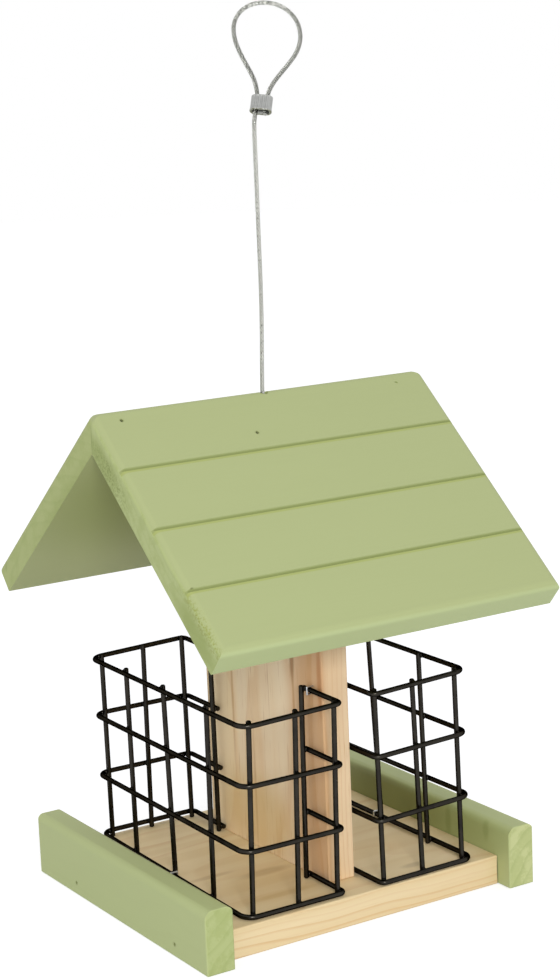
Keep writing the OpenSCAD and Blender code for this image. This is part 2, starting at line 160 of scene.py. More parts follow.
def seen_rays(tree: Tree) -> Node:
    """Tells the rays that end in the picture from those that only light it.

    Args:
        tree: Node tree of a material or the world.

    Returns:
        Mask that is 1 for rays from the camera, in mirrors and through clear pieces.
    """
    path = add(tree, "LightPath").outputs
    mirrored = add(tree, "Math", {0: path["Is Camera Ray"], 1: path["Is Glossy Ray"]}, operation="MAXIMUM")
    return add(tree, "Math", {0: mirrored, 1: path["Is Transmission Ray"]}, operation="MAXIMUM")


def show(name: str, data: bpy.types.ID) -> bpy.types.Object:
    """Puts new data into the scene.

    Args:
        name: Name of the object.
        data: Its mesh, curve, lamp or camera.

    Returns:
        The new object at the origin.
    """
    made = bpy.data.objects.new(name, data)
    bpy.context.scene.collection.objects.link(made)
    return made


def deselect() -> None:
    """Leaves object mode with nothing selected."""
    if bpy.context.mode != "OBJECT":
        bpy.ops.object.mode_set(mode="OBJECT")
    bpy.ops.object.select_all(action="DESELECT")


def pick(part: Part, test: Callable[[MeshPart], bool]) -> None:
    """Selects, in edit mode, exactly the vertices, edges or faces that a test accepts.

    Args:
        part: Which of the three are picked.
        test: Test of one of them.
    """
    bpy.context.tool_settings.mesh_select_mode = tuple(part is kind for kind in Part)
    mesh = bmesh.from_edit_mesh(bpy.context.object.data)
    for item in (*mesh.verts, *mesh.edges, *mesh.faces):
        item.select_set(False)
    for item in getattr(mesh, part.value):
        if test(item):
            item.select_set(True)
    mesh.select_flush_mode()
    bmesh.update_edit_mesh(bpy.context.object.data)


def level_at(face: bmesh.types.BMFace, height: float) -> bool:
    """Tells whether a face is level and lies at a height in metres."""
    return abs(face.normal.z) > 0.9 and abs(face.calc_center_median().z - height) < 1e-6


def cad_end(node: str, axis: int, far: bool = False) -> float:
    """Measures where a CAD piece ends.

    Args:
        node: Its name.
        axis: 0, 1 or 2 for X, Y or Z.
        far: Whether the end on the axis's far side is meant, and not the near one.

    Returns:
        The place in mm, to a thousandth.
    """
    places = [vertex.co[axis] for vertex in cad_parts[node].data.vertices]
    return round((max(places) if far else min(places)) / MM, 3)


# Finishes


@dataclass(frozen=True)
class Finish:
    """Material with a Principled shader whose inputs a subclass gives."""

    name: str

    def material(self) -> bpy.types.Material:
        """Makes the material, or finds it if a piece already wears it.

        Returns:
            The material.
        """
        known = bpy.data.materials.get(self.name)
        if known:
            return known
        made = bpy.data.materials.new(self.name)
        made.use_nodes = True
        tree = made.node_tree
        tree.nodes.clear()
        add(tree, "OutputMaterial", {"Surface": add(tree, "BsdfPrincipled", self.look(tree))})
        return made

    def look(self, tree: Tree) -> Inputs:
        """Draws the patterns and returns the shader's inputs."""
        raise NotImplementedError

    def put_on(self, *pieces: bpy.types.Object) -> None:
        """Gives the finish to every material slot of some pieces.

        Args:
            *pieces: The pieces.
        """
        for piece in pieces:
            if not piece.material_slots:
                piece.data.materials.append(None)
            for slot in piece.material_slots:
                slot.material = self.material()


def tinted(tree: Tree, colour: Node | str, steps: Iterable[Step]) -> Node:
    """Lays one colour after another over a first one.

    Args:
        tree: Node tree of the material.
        colour: First colour, as a node or as sRGB hex.
        steps: Masks, each with the sRGB hex colour that it lets in and with its share.

    Returns:
        The node with the last colour.
    """
    for mask, code, share in steps:
        under = linear(colour) if isinstance(colour, str) else colour
        amount = add(tree, "Math", {0: mask, 1: share}, operation="MULTIPLY", use_clamp=True)
        colour = add(tree, "Mix", {0: amount, 6: under, 7: linear(code)}, data_type="RGBA")
    return colour


@dataclass
class Figure:
    """Patterns of one board, each from 0 to 1, and its places in millimetres."""

    place: Node
    rings: Node
    fibres: Node
    bands: Node
    blotches: Node
    streaks: Node
    end_grain: Node


@dataclass(frozen=True)
class Lumber:
    """How a board was sawn from its log.

    Attributes:
        grain: Way that the fibres run.
        pith: Middle of the log, across the board, in mm from the feeder's origin.
        ring: Width of a year's growth in mm.
        summer: Share of the year after which its wood darkens.
    """

    grain: Grain
    pith: tuple[float, float]
    ring: float = 4.5
    summer: float = 0.45

    def figure(self, tree: Tree) -> Figure:
        """Draws the growth rings, fibres and stains of solid pine.

        Args:
            tree: Node tree of the material.

        Returns:
            The patterns as nodes.
        """
        corner = add(tree, "TexCoord").outputs["Object"]
        place = add(tree, "VectorMath", {0: corner, "Scale": 1 / MM}, operation="SCALE")
        axes = add(tree, "SeparateXYZ", {0: place})
        board = add(tree, "CombineXYZ", {i: axes.outputs[a] for i, a in enumerate(self.grain.value)})

        def stretched(across: float, along: float, detail: float) -> Node:
            """Draws noise that is drawn out along the fibres.

            Args:
                across: Its cells a millimetre across the fibres.
                along: Its cells a millimetre along them.
                detail: Its finer layers.

            Returns:
                The noise.
            """
            spread = add(tree, "VectorMath", {0: board, 1: (across, across, along)}, operation="MULTIPLY")
            noise = {"Vector": spread, "Scale": 1.0, "Detail": detail, "Roughness": 0.55}
            return add(tree, "TexNoise", noise)

        # A tree's rings wander by a few millimetres over the length of a board
        slow = stretched(0.02, 0.006, 2.0)
        wander = add(tree, "Math", {0: slow, 1: 3.4, 2: -1.7}, operation="MULTIPLY_ADD")
        flat = add(tree, "VectorMath", {0: board, 1: (1, 1, 0)}, operation="MULTIPLY")
        out = add(tree, "VectorMath", {0: flat, 1: (*self.pith, 0)}, operation="DISTANCE").outputs["Value"]
        year = add(tree, "Math", {0: out, 1: 1 / self.ring, 2: wander}, operation="MULTIPLY_ADD")
        season = add(tree, "Math", {0: year}, operation="FRACT")
        # Summer wood darkens slowly and stops sharply, and some years more than others
        darkens, stops = (
            add(tree, "MapRange", {"Value": season, "From Min": pale, "From Max": 0.92}, **SMOOTH)
            for pale in (self.summer, 1.0)
        )
        whole = add(tree, "Math", {0: year}, operation="FLOOR")
        luck = add(tree, "TexWhiteNoise", {"W": whole}, noise_dimensions="1D").outputs["Value"]
        depth = add(tree, "MapRange", {"Value": luck, "To Min": 0.25, "To Max": 1.0})
        band = add(tree, "Math", {0: darkens, 1: stops}, operation="MULTIPLY")
        outward = add(tree, "SeparateXYZ", {0: add(tree, "NewGeometry").outputs["Normal"]})
        facing = add(tree, "Math", {0: outward.outputs[self.grain.value[2]]}, operation="ABSOLUTE")
        # Resin canals show as short dark threads along the fibres
        threads = stretched(0.9, 0.035, 2.0)
        return Figure(
            place=place,
            rings=add(tree, "Math", {0: band, 1: depth}, operation="MULTIPLY"),
            fibres=stretched(1.7, 0.03, 3.0),
            bands=stretched(0.075, 0.0015, 1.0),
            blotches=stretched(0.03, 0.009, 2.0),
            streaks=add(tree, "MapRange", {"Value": threads, "From Min": 0.6, "From Max": 0.72}, **SMOOTH),
            end_grain=add(tree, "MapRange", {"Value": facing, "From Min": 0.75, "From Max": 0.97}, **SMOOTH),
        )


@dataclass(frozen=True)
class Mark:
    """Soft-edged spot of another colour in the wood or the paint.

    Attributes:
        place: Its middle in mm.
        reach: Half its size along its own three axes, in mm.
        colour: Its sRGB hex colour.
        share: How much of that colour it lets in.
        turn: Turn of its axes about X in degrees.
        speckled: Whether it is broken up into specks.
    """

    place: Point
    reach: Point
    colour: str
    share: float
    turn: float = 0.0
    speckled: bool = False

    def step(self, tree: Tree, figure: Figure) -> Step:
        """Draws the spot.

        Args:
            tree: Node tree of the material.
            figure: Patterns of the board.

        Returns:
            Its mask, colour and share, for tinted().
        """
        own = {
            "Vector": figure.place,
            "Location": self.place,
            "Rotation": (math.radians(self.turn), 0.0, 0.0),
            "Scale": self.reach,
        }
        spot = add(tree, "Mapping", own, vector_type="TEXTURE")
        away = add(tree, "VectorMath", {0: spot}, operation="LENGTH").outputs["Value"]
        mask = add(tree, "MapRange", {"Value": away, "From Min": 1.0, "From Max": 0.3}, **SMOOTH)
        if self.speckled:
            # Specks of half a millimetre, drawn at 1.2 mm so that they show
            grit = add(tree, "TexNoise", {"Vector": figure.place, "Scale": 0.85, "Detail": 2.0})
            specks = add(tree, "MapRange", {"Value": grit, "From Min": 0.46, "From Max": 0.6})
            mask = add(tree, "Math", {0: mask, 1: specks}, operation="MULTIPLY")
        return mask, self.colour, self.share


@dataclass(frozen=True)
class PineTones:
    """Colours of one pine board, and how strongly its patterns show.

    Attributes:
        pale: Spring wood.
        warm: Broad bands and clouds in it.
        summer: The dark end of each growth ring.
        threads: How much the resin canals show.
        rings: How much the rings show.
        bands: How much the broad bands and the clouds show.
    """

    pale: str
    warm: str
    summer: str
    threads: float
    rings: float = 0.42
    bands: float = 0.4


@dataclass(frozen=True)
class BarePine(Finish):
    """Planed pine without varnish: pale spring wood, orange summer wood, a dull silky face."""

    lumber: Lumber
    tones: PineTones
    marks: tuple[Mark, ...] = ()

    def look(self, tree: Tree) -> Inputs:
        """Mixes the rings, fibres and stains over the pale wood.

        Args:
            tree: Node tree of the material.

        Returns:
            The shader's inputs.
        """
        figure = self.lumber.figure(tree)
        tones = self.tones
        broad = add(tree, "MapRange", {"Value": figure.bands, "From Min": 0.38, "From Max": 0.62}, **SMOOTH)
        steps = [
            (broad, tones.warm, tones.bands),
            (figure.blotches, tones.warm, tones.bands),
            (figure.rings, tones.summer, tones.rings),
            (figure.fibres, tones.warm, 0.3),
            (figure.streaks, "#BC8747", tones.threads),
            (figure.end_grain, "#C79F6B", 0.3),
            *[mark.step(tree, figure) for mark in self.marks],
        ]
        relief = add(tree, "Math", {0: figure.fibres, 1: 0.6, 2: figure.rings}, operation="MULTIPLY_ADD")
        return {
            "Base Color": tinted(tree, tones.pale, steps),
            "Roughness": 0.62,
            "Normal": add(tree, "Bump", {"Height": relief, "Strength": 0.2, "Distance": 0.06 * MM}),
        }


@dataclass(frozen=True)
class SageOnPine(Finish):
    """Sage-green outdoor acrylic, rolled over planed pine and cured to a soft satin.

    The rings and fibres show faintly through the film. End grain drinks the paint, so it
    is blotchy, darker in mottles and rough; its own tone is set board by board to how
    bright its ends look, which is painted light and shade. Grooves and the brads' holes
    are darkened with painted shade, with a ring of darker paint round each brad, and the
    eave's face is painted lighter and bluer as painted light from the floor below.

    Attributes:
        lumber: How the board was sawn.
        brads: Places of the brads in the face, in mm.
        slope: Slope of the roof that the board is, if it is one.
        marks: Spots in the paint.
        film: sRGB hex colour of the paint.
        ends: sRGB hex colour of the paint on end grain.
    """

    lumber: Lumber
    brads: tuple[Point, ...] = ()
    slope: Slope | None = None
    marks: tuple[Mark, ...] = ()
    film: str = "#B3BD84"
    ends: str = "#B3BD84"

    def groove(self, tree: Tree, figure: Figure, lower: float, reach: float) -> Node:
        """Finds the grooves between the strips of the slope.

        Args:
            tree: Node tree of the material.
            figure: Patterns of the board.
            lower: Shift of the mask down the slope in mm.
            reach: Half of its width in mm.

        Returns:
            Mask that is 1 in a groove.
        """
        # Depth in mm under the board's face that the mask reaches
        board_skin = 3.0
        ridge = add(tree, "VectorMath", {0: figure.place, 1: (0, 0, RIDGE_Z)}, operation="SUBTRACT")
        way, into = self.slope.downhill(), self.slope.inward()
        down = add(tree, "VectorMath", {0: ridge, 1: way}, operation="DOT_PRODUCT").outputs["Value"]
        deep = add(tree, "VectorMath", {0: ridge, 1: into}, operation="DOT_PRODUCT").outputs["Value"]
        past = add(tree, "Math", {0: down, 1: lower}, operation="SUBTRACT")
        away = add(tree, "Math", {0: past, 1: STRIP / 2}, operation="PINGPONG")
        near = add(tree, "MapRange", {"Value": away, "From Min": reach, "From Max": 0.4 * reach}, **SMOOTH)
        inside = add(tree, "Math", {0: down, 1: 2 * STRIP, 2: 1.5 * STRIP}, operation="COMPARE")
        shallow = add(tree, "Math", {0: deep, 1: board_skin}, operation="LESS_THAN")
        both = add(tree, "Math", {0: inside, 1: shallow}, operation="MULTIPLY")
        return add(tree, "Math", {0: near, 1: both}, operation="MULTIPLY")

    def eave(self, tree: Tree, figure: Figure) -> Node:
        """Finds the face of the eave, which looks down and out, for its painted light.

        Args:
            tree: Node tree of the material.
            figure: Patterns of the board.

        Returns:
            Mask that is 1 on that face.
        """
        normal = add(tree, "NewGeometry").outputs["Normal"]
        way = self.slope.downhill()
        facing = add(tree, "VectorMath", {0: normal, 1: way}, operation="DOT_PRODUCT").outputs["Value"]
        face = add(tree, "MapRange", {"Value": facing, "From Min": 0.55, "From Max": 0.95}, **SMOOTH)
        back = add(tree, "SeparateXYZ", {0: figure.place}).outputs[1]
        away = add(tree, "Math", {0: back}, operation="ABSOLUTE")
        low = add(tree, "Math", {0: away, 1: EAVE_Y}, operation="GREATER_THAN")
        return add(tree, "Math", {0: face, 1: low}, operation="MULTIPLY")

    def brad_stains_and_shade(self, tree: Tree, figure: Figure) -> Node:
        """Finds the brads' holes, whose walls get painted shade, and the rings of darker paint about them.

        Args:
            tree: Node tree of the material.
            figure: Patterns of the board.

        Returns:
            Mask that is 1 at a brad and fades over two millimetres.
        """
        ways = [
            add(tree, "VectorMath", {0: figure.place, 1: brad}, operation="DISTANCE").outputs["Value"]
            for brad in self.brads
        ]
        nearest = ways[0]
        for way in ways[1:]:
            nearest = add(tree, "Math", {0: nearest, 1: way}, operation="MINIMUM")
        return add(tree, "MapRange", {"Value": nearest, "From Min": 2.0, "From Max": 0.8}, **SMOOTH)

    def look(self, tree: Tree) -> Inputs:
        """Mixes the film's tones and its relief.

        Args:
            tree: Node tree of the material.

        Returns:
            The shader's inputs.
        """
        figure = self.lumber.figure(tree)
        # Roller stipple of about half a millimetre, drawn at 1.4 mm so that it shows
        stipple = add(tree, "TexNoise", {"Vector": figure.place, "Scale": 0.7, "Detail": 3.0})
        clouds = {"Vector": figure.place, "Scale": 0.09, "Detail": 3.0, "Roughness": 0.6}
        uneven = {0: stipple, 1: 0.35, 2: add(tree, "TexNoise", clouds)}
        thick = add(tree, "Math", uneven, operation="MULTIPLY_ADD")
        mottle = add(tree, "MapRange", {"Value": thick, "From Min": 0.6, "From Max": 0.78}, **SMOOTH)
        drunk = add(tree, "Math", {0: mottle, 1: figure.end_grain}, operation="MULTIPLY")
        arcs = add(tree, "Math", {0: figure.rings, 1: figure.end_grain}, operation="MULTIPLY")
        steps = [
            (figure.blotches, "#ABB47F", 0.35),
            (figure.rings, "#A6AF78", 0.12),
            (figure.fibres, "#B7C08C", 0.14),
            (figure.end_grain, self.ends, 0.85),
            (drunk, "#97A45C", 0.34),
            (arcs, "#98A562", 0.45),
            *[mark.step(tree, figure) for mark in self.marks],
        ]
        if self.slope:
            # Each groove is darkened as painted shade, and a yellower band along its lower lip is a painted
            # highlight
            steps.append((self.groove(tree, figure, 1.7, 1.5), "#9DA757", 0.7))
            steps.append((self.groove(tree, figure, 0.0, 1.3), "#87924F", 0.6))
            # The eave's face is painted lighter and bluer, as painted light from the floor below it
            steps.append((self.eave(tree, figure), "#B4C08B", 0.9))
        if self.brads:
            # Painted shade on the walls of the brads' holes, and a ring of darker paint round each
            steps.append((self.brad_stains_and_shade(tree, figure), "#7F884E", 0.6))
        wood = add(tree, "Math", {0: figure.fibres, 1: 0.4, 2: figure.rings}, operation="MULTIPLY_ADD")
        relief = add(tree, "Math", {0: stipple, 1: 0.8, 2: wood}, operation="MULTIPLY_ADD")
        return {
            "Base Color": tinted(tree, self.film, steps),
            "Roughness": 0.58,
            "Normal": add(tree, "Bump", {"Height": relief, "Strength": 0.16, "Distance": 0.06 * MM}),
        }


@dataclass(frozen=True)
class PowderCoat(Finish):
    """Black polyester powder baked on steel wire: a satin film with a fine orange peel.

    It is shaded as a dark metal, whose sides stay dark beside the white studio.
    """

    def look(self, tree: Tree) -> Inputs:
        """Sets a near-black satin and its peel of half a millimetre.

        Args:
            tree: Node tree of the material.

        Returns:
            The shader's inputs.
        """
        corner = add(tree, "TexCoord").outputs["Object"]
        peel = add(tree, "TexNoise", {"Vector": corner, "Scale": 1 / (0.5 * MM), "Detail": 2.0})
        patch = add(tree, "TexNoise", {"Vector": corner, "Scale": 1 / (9 * MM), "Detail": 2.0})
        rough = {"Value": patch, "From Min": 0.3, "From Max": 0.7, "To Min": 0.2, "To Max": 0.34}
        return {
            # Lighter patches of the coat are partly its uneven tone and partly painted sheen
            "Base Color": tinted(tree, "#242220", [(patch, "#3F3C36", 0.9)]),
            "Metallic": 1.0,
            "Specular Tint": linear("#5A5853"),
            "Roughness": add(tree, "MapRange", rough),
            "Normal": add(tree, "Bump", {"Height": peel, "Strength": 0.35, "Distance": 0.02 * MM}),
        }


@dataclass(frozen=True)
class Metal(Finish):
    """Bare or plated metal with a cloudy tone and a fine grit.

    Attributes:
        tone: Lighter sRGB colour of the metal.
        cloud: Darker sRGB colour of its patches.
        patch: Size of the patches in mm.
        rough: Lowest and highest roughness.
        torn: Way in which a ragged, smeared end of the piece looks, if it has one.
        filled: Place in mm of a brad whose hole is filled with paint, if there is one.
    """

    tone: str
    cloud: str
    patch: float
    rough: tuple[float, float]
    torn: Point | None = None
    filled: Point | None = None

    def tears(self, tree: Tree, corner: bpy.types.NodeSocket) -> list[Step]:
        """Draws the ragged end, with painted shade in its pits and painted glints on its tips.

        Args:
            tree: Node tree of the material.
            corner: Places on the piece in metres.

        Returns:
            Masks of its pits and tips with their colours and shares, for tinted().
        """
        # Crumbs and smears of 0.3 mm, drawn at 0.9 mm so that they show
        crumbs = add(tree, "TexNoise", {"Vector": corner, "Scale": 1 / (0.9 * MM), "Detail": 2.0})
        ways = {0: add(tree, "NewGeometry").outputs["Normal"], 1: self.torn}
        facing = add(tree, "VectorMath", ways, operation="DOT_PRODUCT").outputs["Value"]
        end = add(tree, "MapRange", {"Value": facing, "From Min": 0.15, "From Max": 0.55})
        steps = []
        # Among the crumbs, darker pits are painted shade and bright tips are painted glints
        for full, colour in ((0.48, "#83836B"), (0.64, "#E6E6DF")):
            crumb = add(tree, "MapRange", {"Value": crumbs, "From Min": 0.56, "From Max": full})
            steps.append((add(tree, "Math", {0: end, 1: crumb}, operation="MULTIPLY"), colour, 0.9))
        return steps

    def look(self, tree: Tree) -> Inputs:
        """Clouds the metal's colour and roughness, and tears or fills it where it should be.

        Args:
            tree: Node tree of the material.

        Returns:
            The shader's inputs.
        """
        corner = add(tree, "TexCoord").outputs["Object"]
        patch = add(tree, "TexNoise", {"Vector": corner, "Scale": 1 / (self.patch * MM), "Detail": 3.0})
        steps = [(patch, self.cloud, 1.0)]
        metallic = 1.0
        if self.torn:
            steps += self.tears(tree, corner)
        if self.filled:
            brad = tuple(c * MM for c in self.filled)
            away = add(tree, "VectorMath", {0: corner, 1: brad}, operation="DISTANCE").outputs["Value"]
            paint = add(tree, "Math", {0: away, 1: 3 * MM}, operation="LESS_THAN")
            steps.append((paint, "#C3CB98", 1.0))
            metallic = add(tree, "Math", {0: 1.0, 1: paint}, operation="SUBTRACT")
        low, high = self.rough
        rough = {"Value": patch, "From Min": 0.3, "From Max": 0.7, "To Min": low, "To Max": high}
        grit = add(tree, "TexNoise", {"Vector": corner, "Scale": 1 / (0.25 * MM), "Detail": 2.0})
        return {
            "Base Color": tinted(tree, self.tone, steps),
            "Metallic": metallic,
            "Roughness": add(tree, "MapRange", rough),
            "Normal": add(tree, "Bump", {"Height": grit, "Strength": 0.2, "Distance": 0.02 * MM}),
        }


@dataclass(frozen=True)
class WoundWire(Finish):
    """Galvanised steel wires wound to a strand: bright crowns, gaps darkened as painted shade, painted
    glints.

    The loop's top carries a painted highlight, and the straight run is painted lighter.

    Attributes:
        painted_top_highlight: Heights in metres between which the loop's painted highlight starts.
        lighter_run: Heights in metres, from the top, between which the lighter straight run starts.
    """

    painted_top_highlight: tuple[float, float] = (0.543, 0.55)
    lighter_run: tuple[float, float] = (0.488, 0.478)

    def look(self, tree: Tree) -> Inputs:
        """Paints shade into the gaps between the wires, and breaks up their shine with painted glints.

        Args:
            tree: Node tree of the material.

        Returns:
            The shader's inputs.
        """
        wind = add(tree, "SeparateXYZ", {0: add(tree, "UVMap", uv_map="wind")}).outputs
        turned = add(tree, "Math", {0: wind[0], 1: math.tau}, operation="MULTIPLY")
        outward = add(tree, "Math", {0: turned}, operation="COSINE")
        crown = add(tree, "MapRange", {"Value": outward, "From Min": 0.1, "From Max": 0.95}, **SMOOTH)
        # Each wire is itself of fine ones; their slant of 0.3 mm is drawn at 0.9 mm to show
        slant = add(tree, "Math", {0: wind[1], 1: 1 / (0.9 * MM), 2: wind[0]}, operation="MULTIPLY_ADD")
        ridges = add(tree, "Math", {0: slant, 1: 1.0}, operation="PINGPONG")
        corner = add(tree, "TexCoord").outputs["Object"]
        glitter = add(tree, "TexNoise", {"Vector": corner, "Scale": 1 / (1.6 * MM), "Detail": 2.0})
        painted_glints = add(tree, "MapRange", {"Value": glitter, "From Min": 0.42, "From Max": 0.62})
        height = add(tree, "SeparateXYZ", {0: corner}).outputs[2]
        painted_top_highlight, lighter_run = (
            add(tree, "MapRange", {"Value": height, "From Min": start, "From Max": full})
            for start, full in (self.painted_top_highlight, self.lighter_run)
        )
        # Painted shade in the gaps between the wires, painted glints, a painted highlight on the loop's top,
        # and a lighter straight run
        steps = [
            (crown, "#D2D3CE", 1.0),
            (ridges, "#A6A7A2", 0.4),
            (painted_glints, "#F2F2EE", 0.35),
            (lighter_run, "#F6F6F2", 0.7),
            (add(tree, "Math", {0: 1.0, 1: crown}, operation="SUBTRACT"), "#76776F", 0.55),
            (add(tree, "Math", {0: painted_top_highlight, 1: painted_glints}, operation="MULTIPLY"), "#FFFFFC", 0.9),
        ]
        rough = {"Value": glitter, "From Min": 0.3, "From Max": 0.7, "To Min": 0.24, "To Max": 0.45}
        return {
            "Base Color": tinted(tree, "#94958F", steps),
            "Metallic": 1.0,
            "Roughness": add(tree, "MapRange", rough),
            "Normal": add(tree, "Bump", {"Height": ridges, "Strength": 0.5, "Distance": 0.05 * MM}),
        }


@dataclass(frozen=True)
class ClearSleeve(Finish):
    """Clear soft PVC drawn over the cable: it shows the strands a little larger."""

    def look(self, tree: Tree) -> Inputs:
        """Sets a clear plastic with a faint haze and slow waves in its skin.

        Args:
            tree: Node tree of the material.

        Returns:
            The shader's inputs.
        """
        corner = add(tree, "TexCoord").outputs["Object"]
        haze = add(tree, "TexNoise", {"Vector": corner, "Scale": 1 / (6 * MM), "Detail": 2.0})
        return {
            "Base Color": tinted(tree, "#FFFFFC", [(haze, "#F6F7F2", 0.8)]),
            "Roughness": 0.03,
            "IOR": 1.45,
            "Transmission Weight": 1.0,
            "Normal": add(tree, "Bump", {"Height": haze, "Strength": 0.2, "Distance": 0.04 * MM}),
        }


@dataclass(frozen=True)
class StudioWhite(Finish):
    """Matt white paper of the studio, lifted to white where the camera meets it."""

    lift: float

    def look(self, tree: Tree) -> Inputs:
        """Adds a little light of its own for the camera and for what mirrors it."""
        return {
            "Base Color": linear("#DADBDC"),
            "Roughness": 0.9,
            "Specular IOR Level": 0.0,
            "Emission Color": linear("#FDFDFF"),
            "Emission Strength": add(tree, "Math", {0: seen_rays(tree), 1: self.lift}, operation="MULTIPLY"),
        }


# Studio


@dataclass
class Studio:
    """Camera at the photograph's place, a soft lamp, a white world and a white floor.

    Attributes:
        azimuth: Camera's turn about Z in degrees; 0 looks along +Y.
        elevation: Camera's height above the horizon in degrees.
        roll: Camera's roll in degrees.
        distance: From the camera to its target in mm.
        target: Point in the middle of the picture in mm.
        focal_px: Focal length in pixels of the photograph.
        picture_px: Height of the photograph in pixels.
        sensor: Width of the camera's sensor in mm.
        lamp_place: Middle of the lamp in metres.
        lamp_aim: Where it looks, in metres.
        lamp_side: Its side in metres.
        lamp_watts: Its power.
        world_light: Strength of the world's light on the feeder.
        floor_radius: Radius of the floor in metres.
        floor_gap: How far the floor lies under the feeder, in metres.
        floor_lift: Light of its own that lifts the floor to white.
    """

    azimuth: float = -32.036
    elevation: float = 11.22
    roll: float = -2.383
    distance: float = 1398.19
    target: Point = (10.227, 0.0, 254.61)
    focal_px: float = 2225.76
    picture_px: float = 979
    sensor: float = 36.0
    lamp_place: Point = (-1.08, -2.21, 1.05)
    lamp_aim: Point = (0.0, 0.0, 0.2)
    lamp_side: float = 0.6
    lamp_watts: float = 33.0
    world_light: float = 0.7
    floor_radius: float = 6.0
    floor_gap: float = 0.0002
    floor_lift: float = 0.56

    def camera(self) -> None:
        """Sets up the camera that sees what the photograph sees."""
        turn, rise, roll = map(math.radians, (self.azimuth, self.elevation, self.roll))
        back = Vector((math.sin(turn) * math.cos(rise), -math.cos(turn) * math.cos(rise), math.sin(rise)))
        right = (-back).cross(Vector((0, 0, 1))).normalized()
        up = right.cross(-back)
        across = math.cos(roll) * right + math.sin(roll) * up
        upward = math.cos(roll) * up - math.sin(roll) * right
        place = (Vector(self.target) + self.distance * back) * MM
        data = bpy.data.cameras.new("photo_camera")
        data.sensor_width = self.sensor
        data.lens = self.focal_px / self.picture_px * self.sensor
        data.clip_start, data.clip_end = 0.05, 30.0
        camera = show("photo_camera", data)
        axes = Matrix((across, upward, back)).transposed().to_4x4()
        camera.matrix_world = Matrix.Translation(place) @ axes
        bpy.context.scene.camera = camera

    def world(self) -> None:
        """Fills the sky with plain light, and shows it white."""
        world = bpy.data.worlds.new("studio_world")
        world.use_nodes = True
        tree = world.node_tree
        tree.nodes.clear()
        light = {"Value": seen_rays(tree), "To Min": self.world_light, "To Max": 1.0}
        sky = add(tree, "Background", {"Color": linear("#FFFFFF"), "Strength": add(tree, "MapRange", light)})
        add(tree, "OutputWorld", {"Surface": sky})
        bpy.context.scene.world = world

    def floor(self) -> None:
        """Lays the round floor that the feeder stands on."""
        deselect()
        bpy.ops.mesh.primitive_circle_add(
            vertices=96, radius=self.floor_radius, fill_type="NGON", location=(0, 0, -self.floor_gap)
        )
        floor = bpy.context.object
        floor.name = "studio_floor"
        StudioWhite("studio_paper", lift=self.floor_lift).put_on(floor)

    def lamp(self) -> None:
        """Hangs the square soft lamp that faces the feeder."""
        data = bpy.data.lights.new("key_lamp", "AREA")
        data.shape, data.size, data.energy = "SQUARE", self.lamp_side, self.lamp_watts
        lamp = show("key_lamp", data)
        lamp.location = self.lamp_place
        lamp.rotation_mode = "QUATERNION"
        aim = Vector(self.lamp_aim) - Vector(self.lamp_place)
        lamp.rotation_quaternion = aim.to_track_quat("-Z", "Y")

    def build(self) -> None:
        """Sets up all of the studio."""
        self.camera()
        self.world()
        self.floor()
        self.lamp()
        bpy.context.scene.view_settings.view_transform = "Standard"
        LOG.info("studio: camera, world, floor and lamp")


# Cable


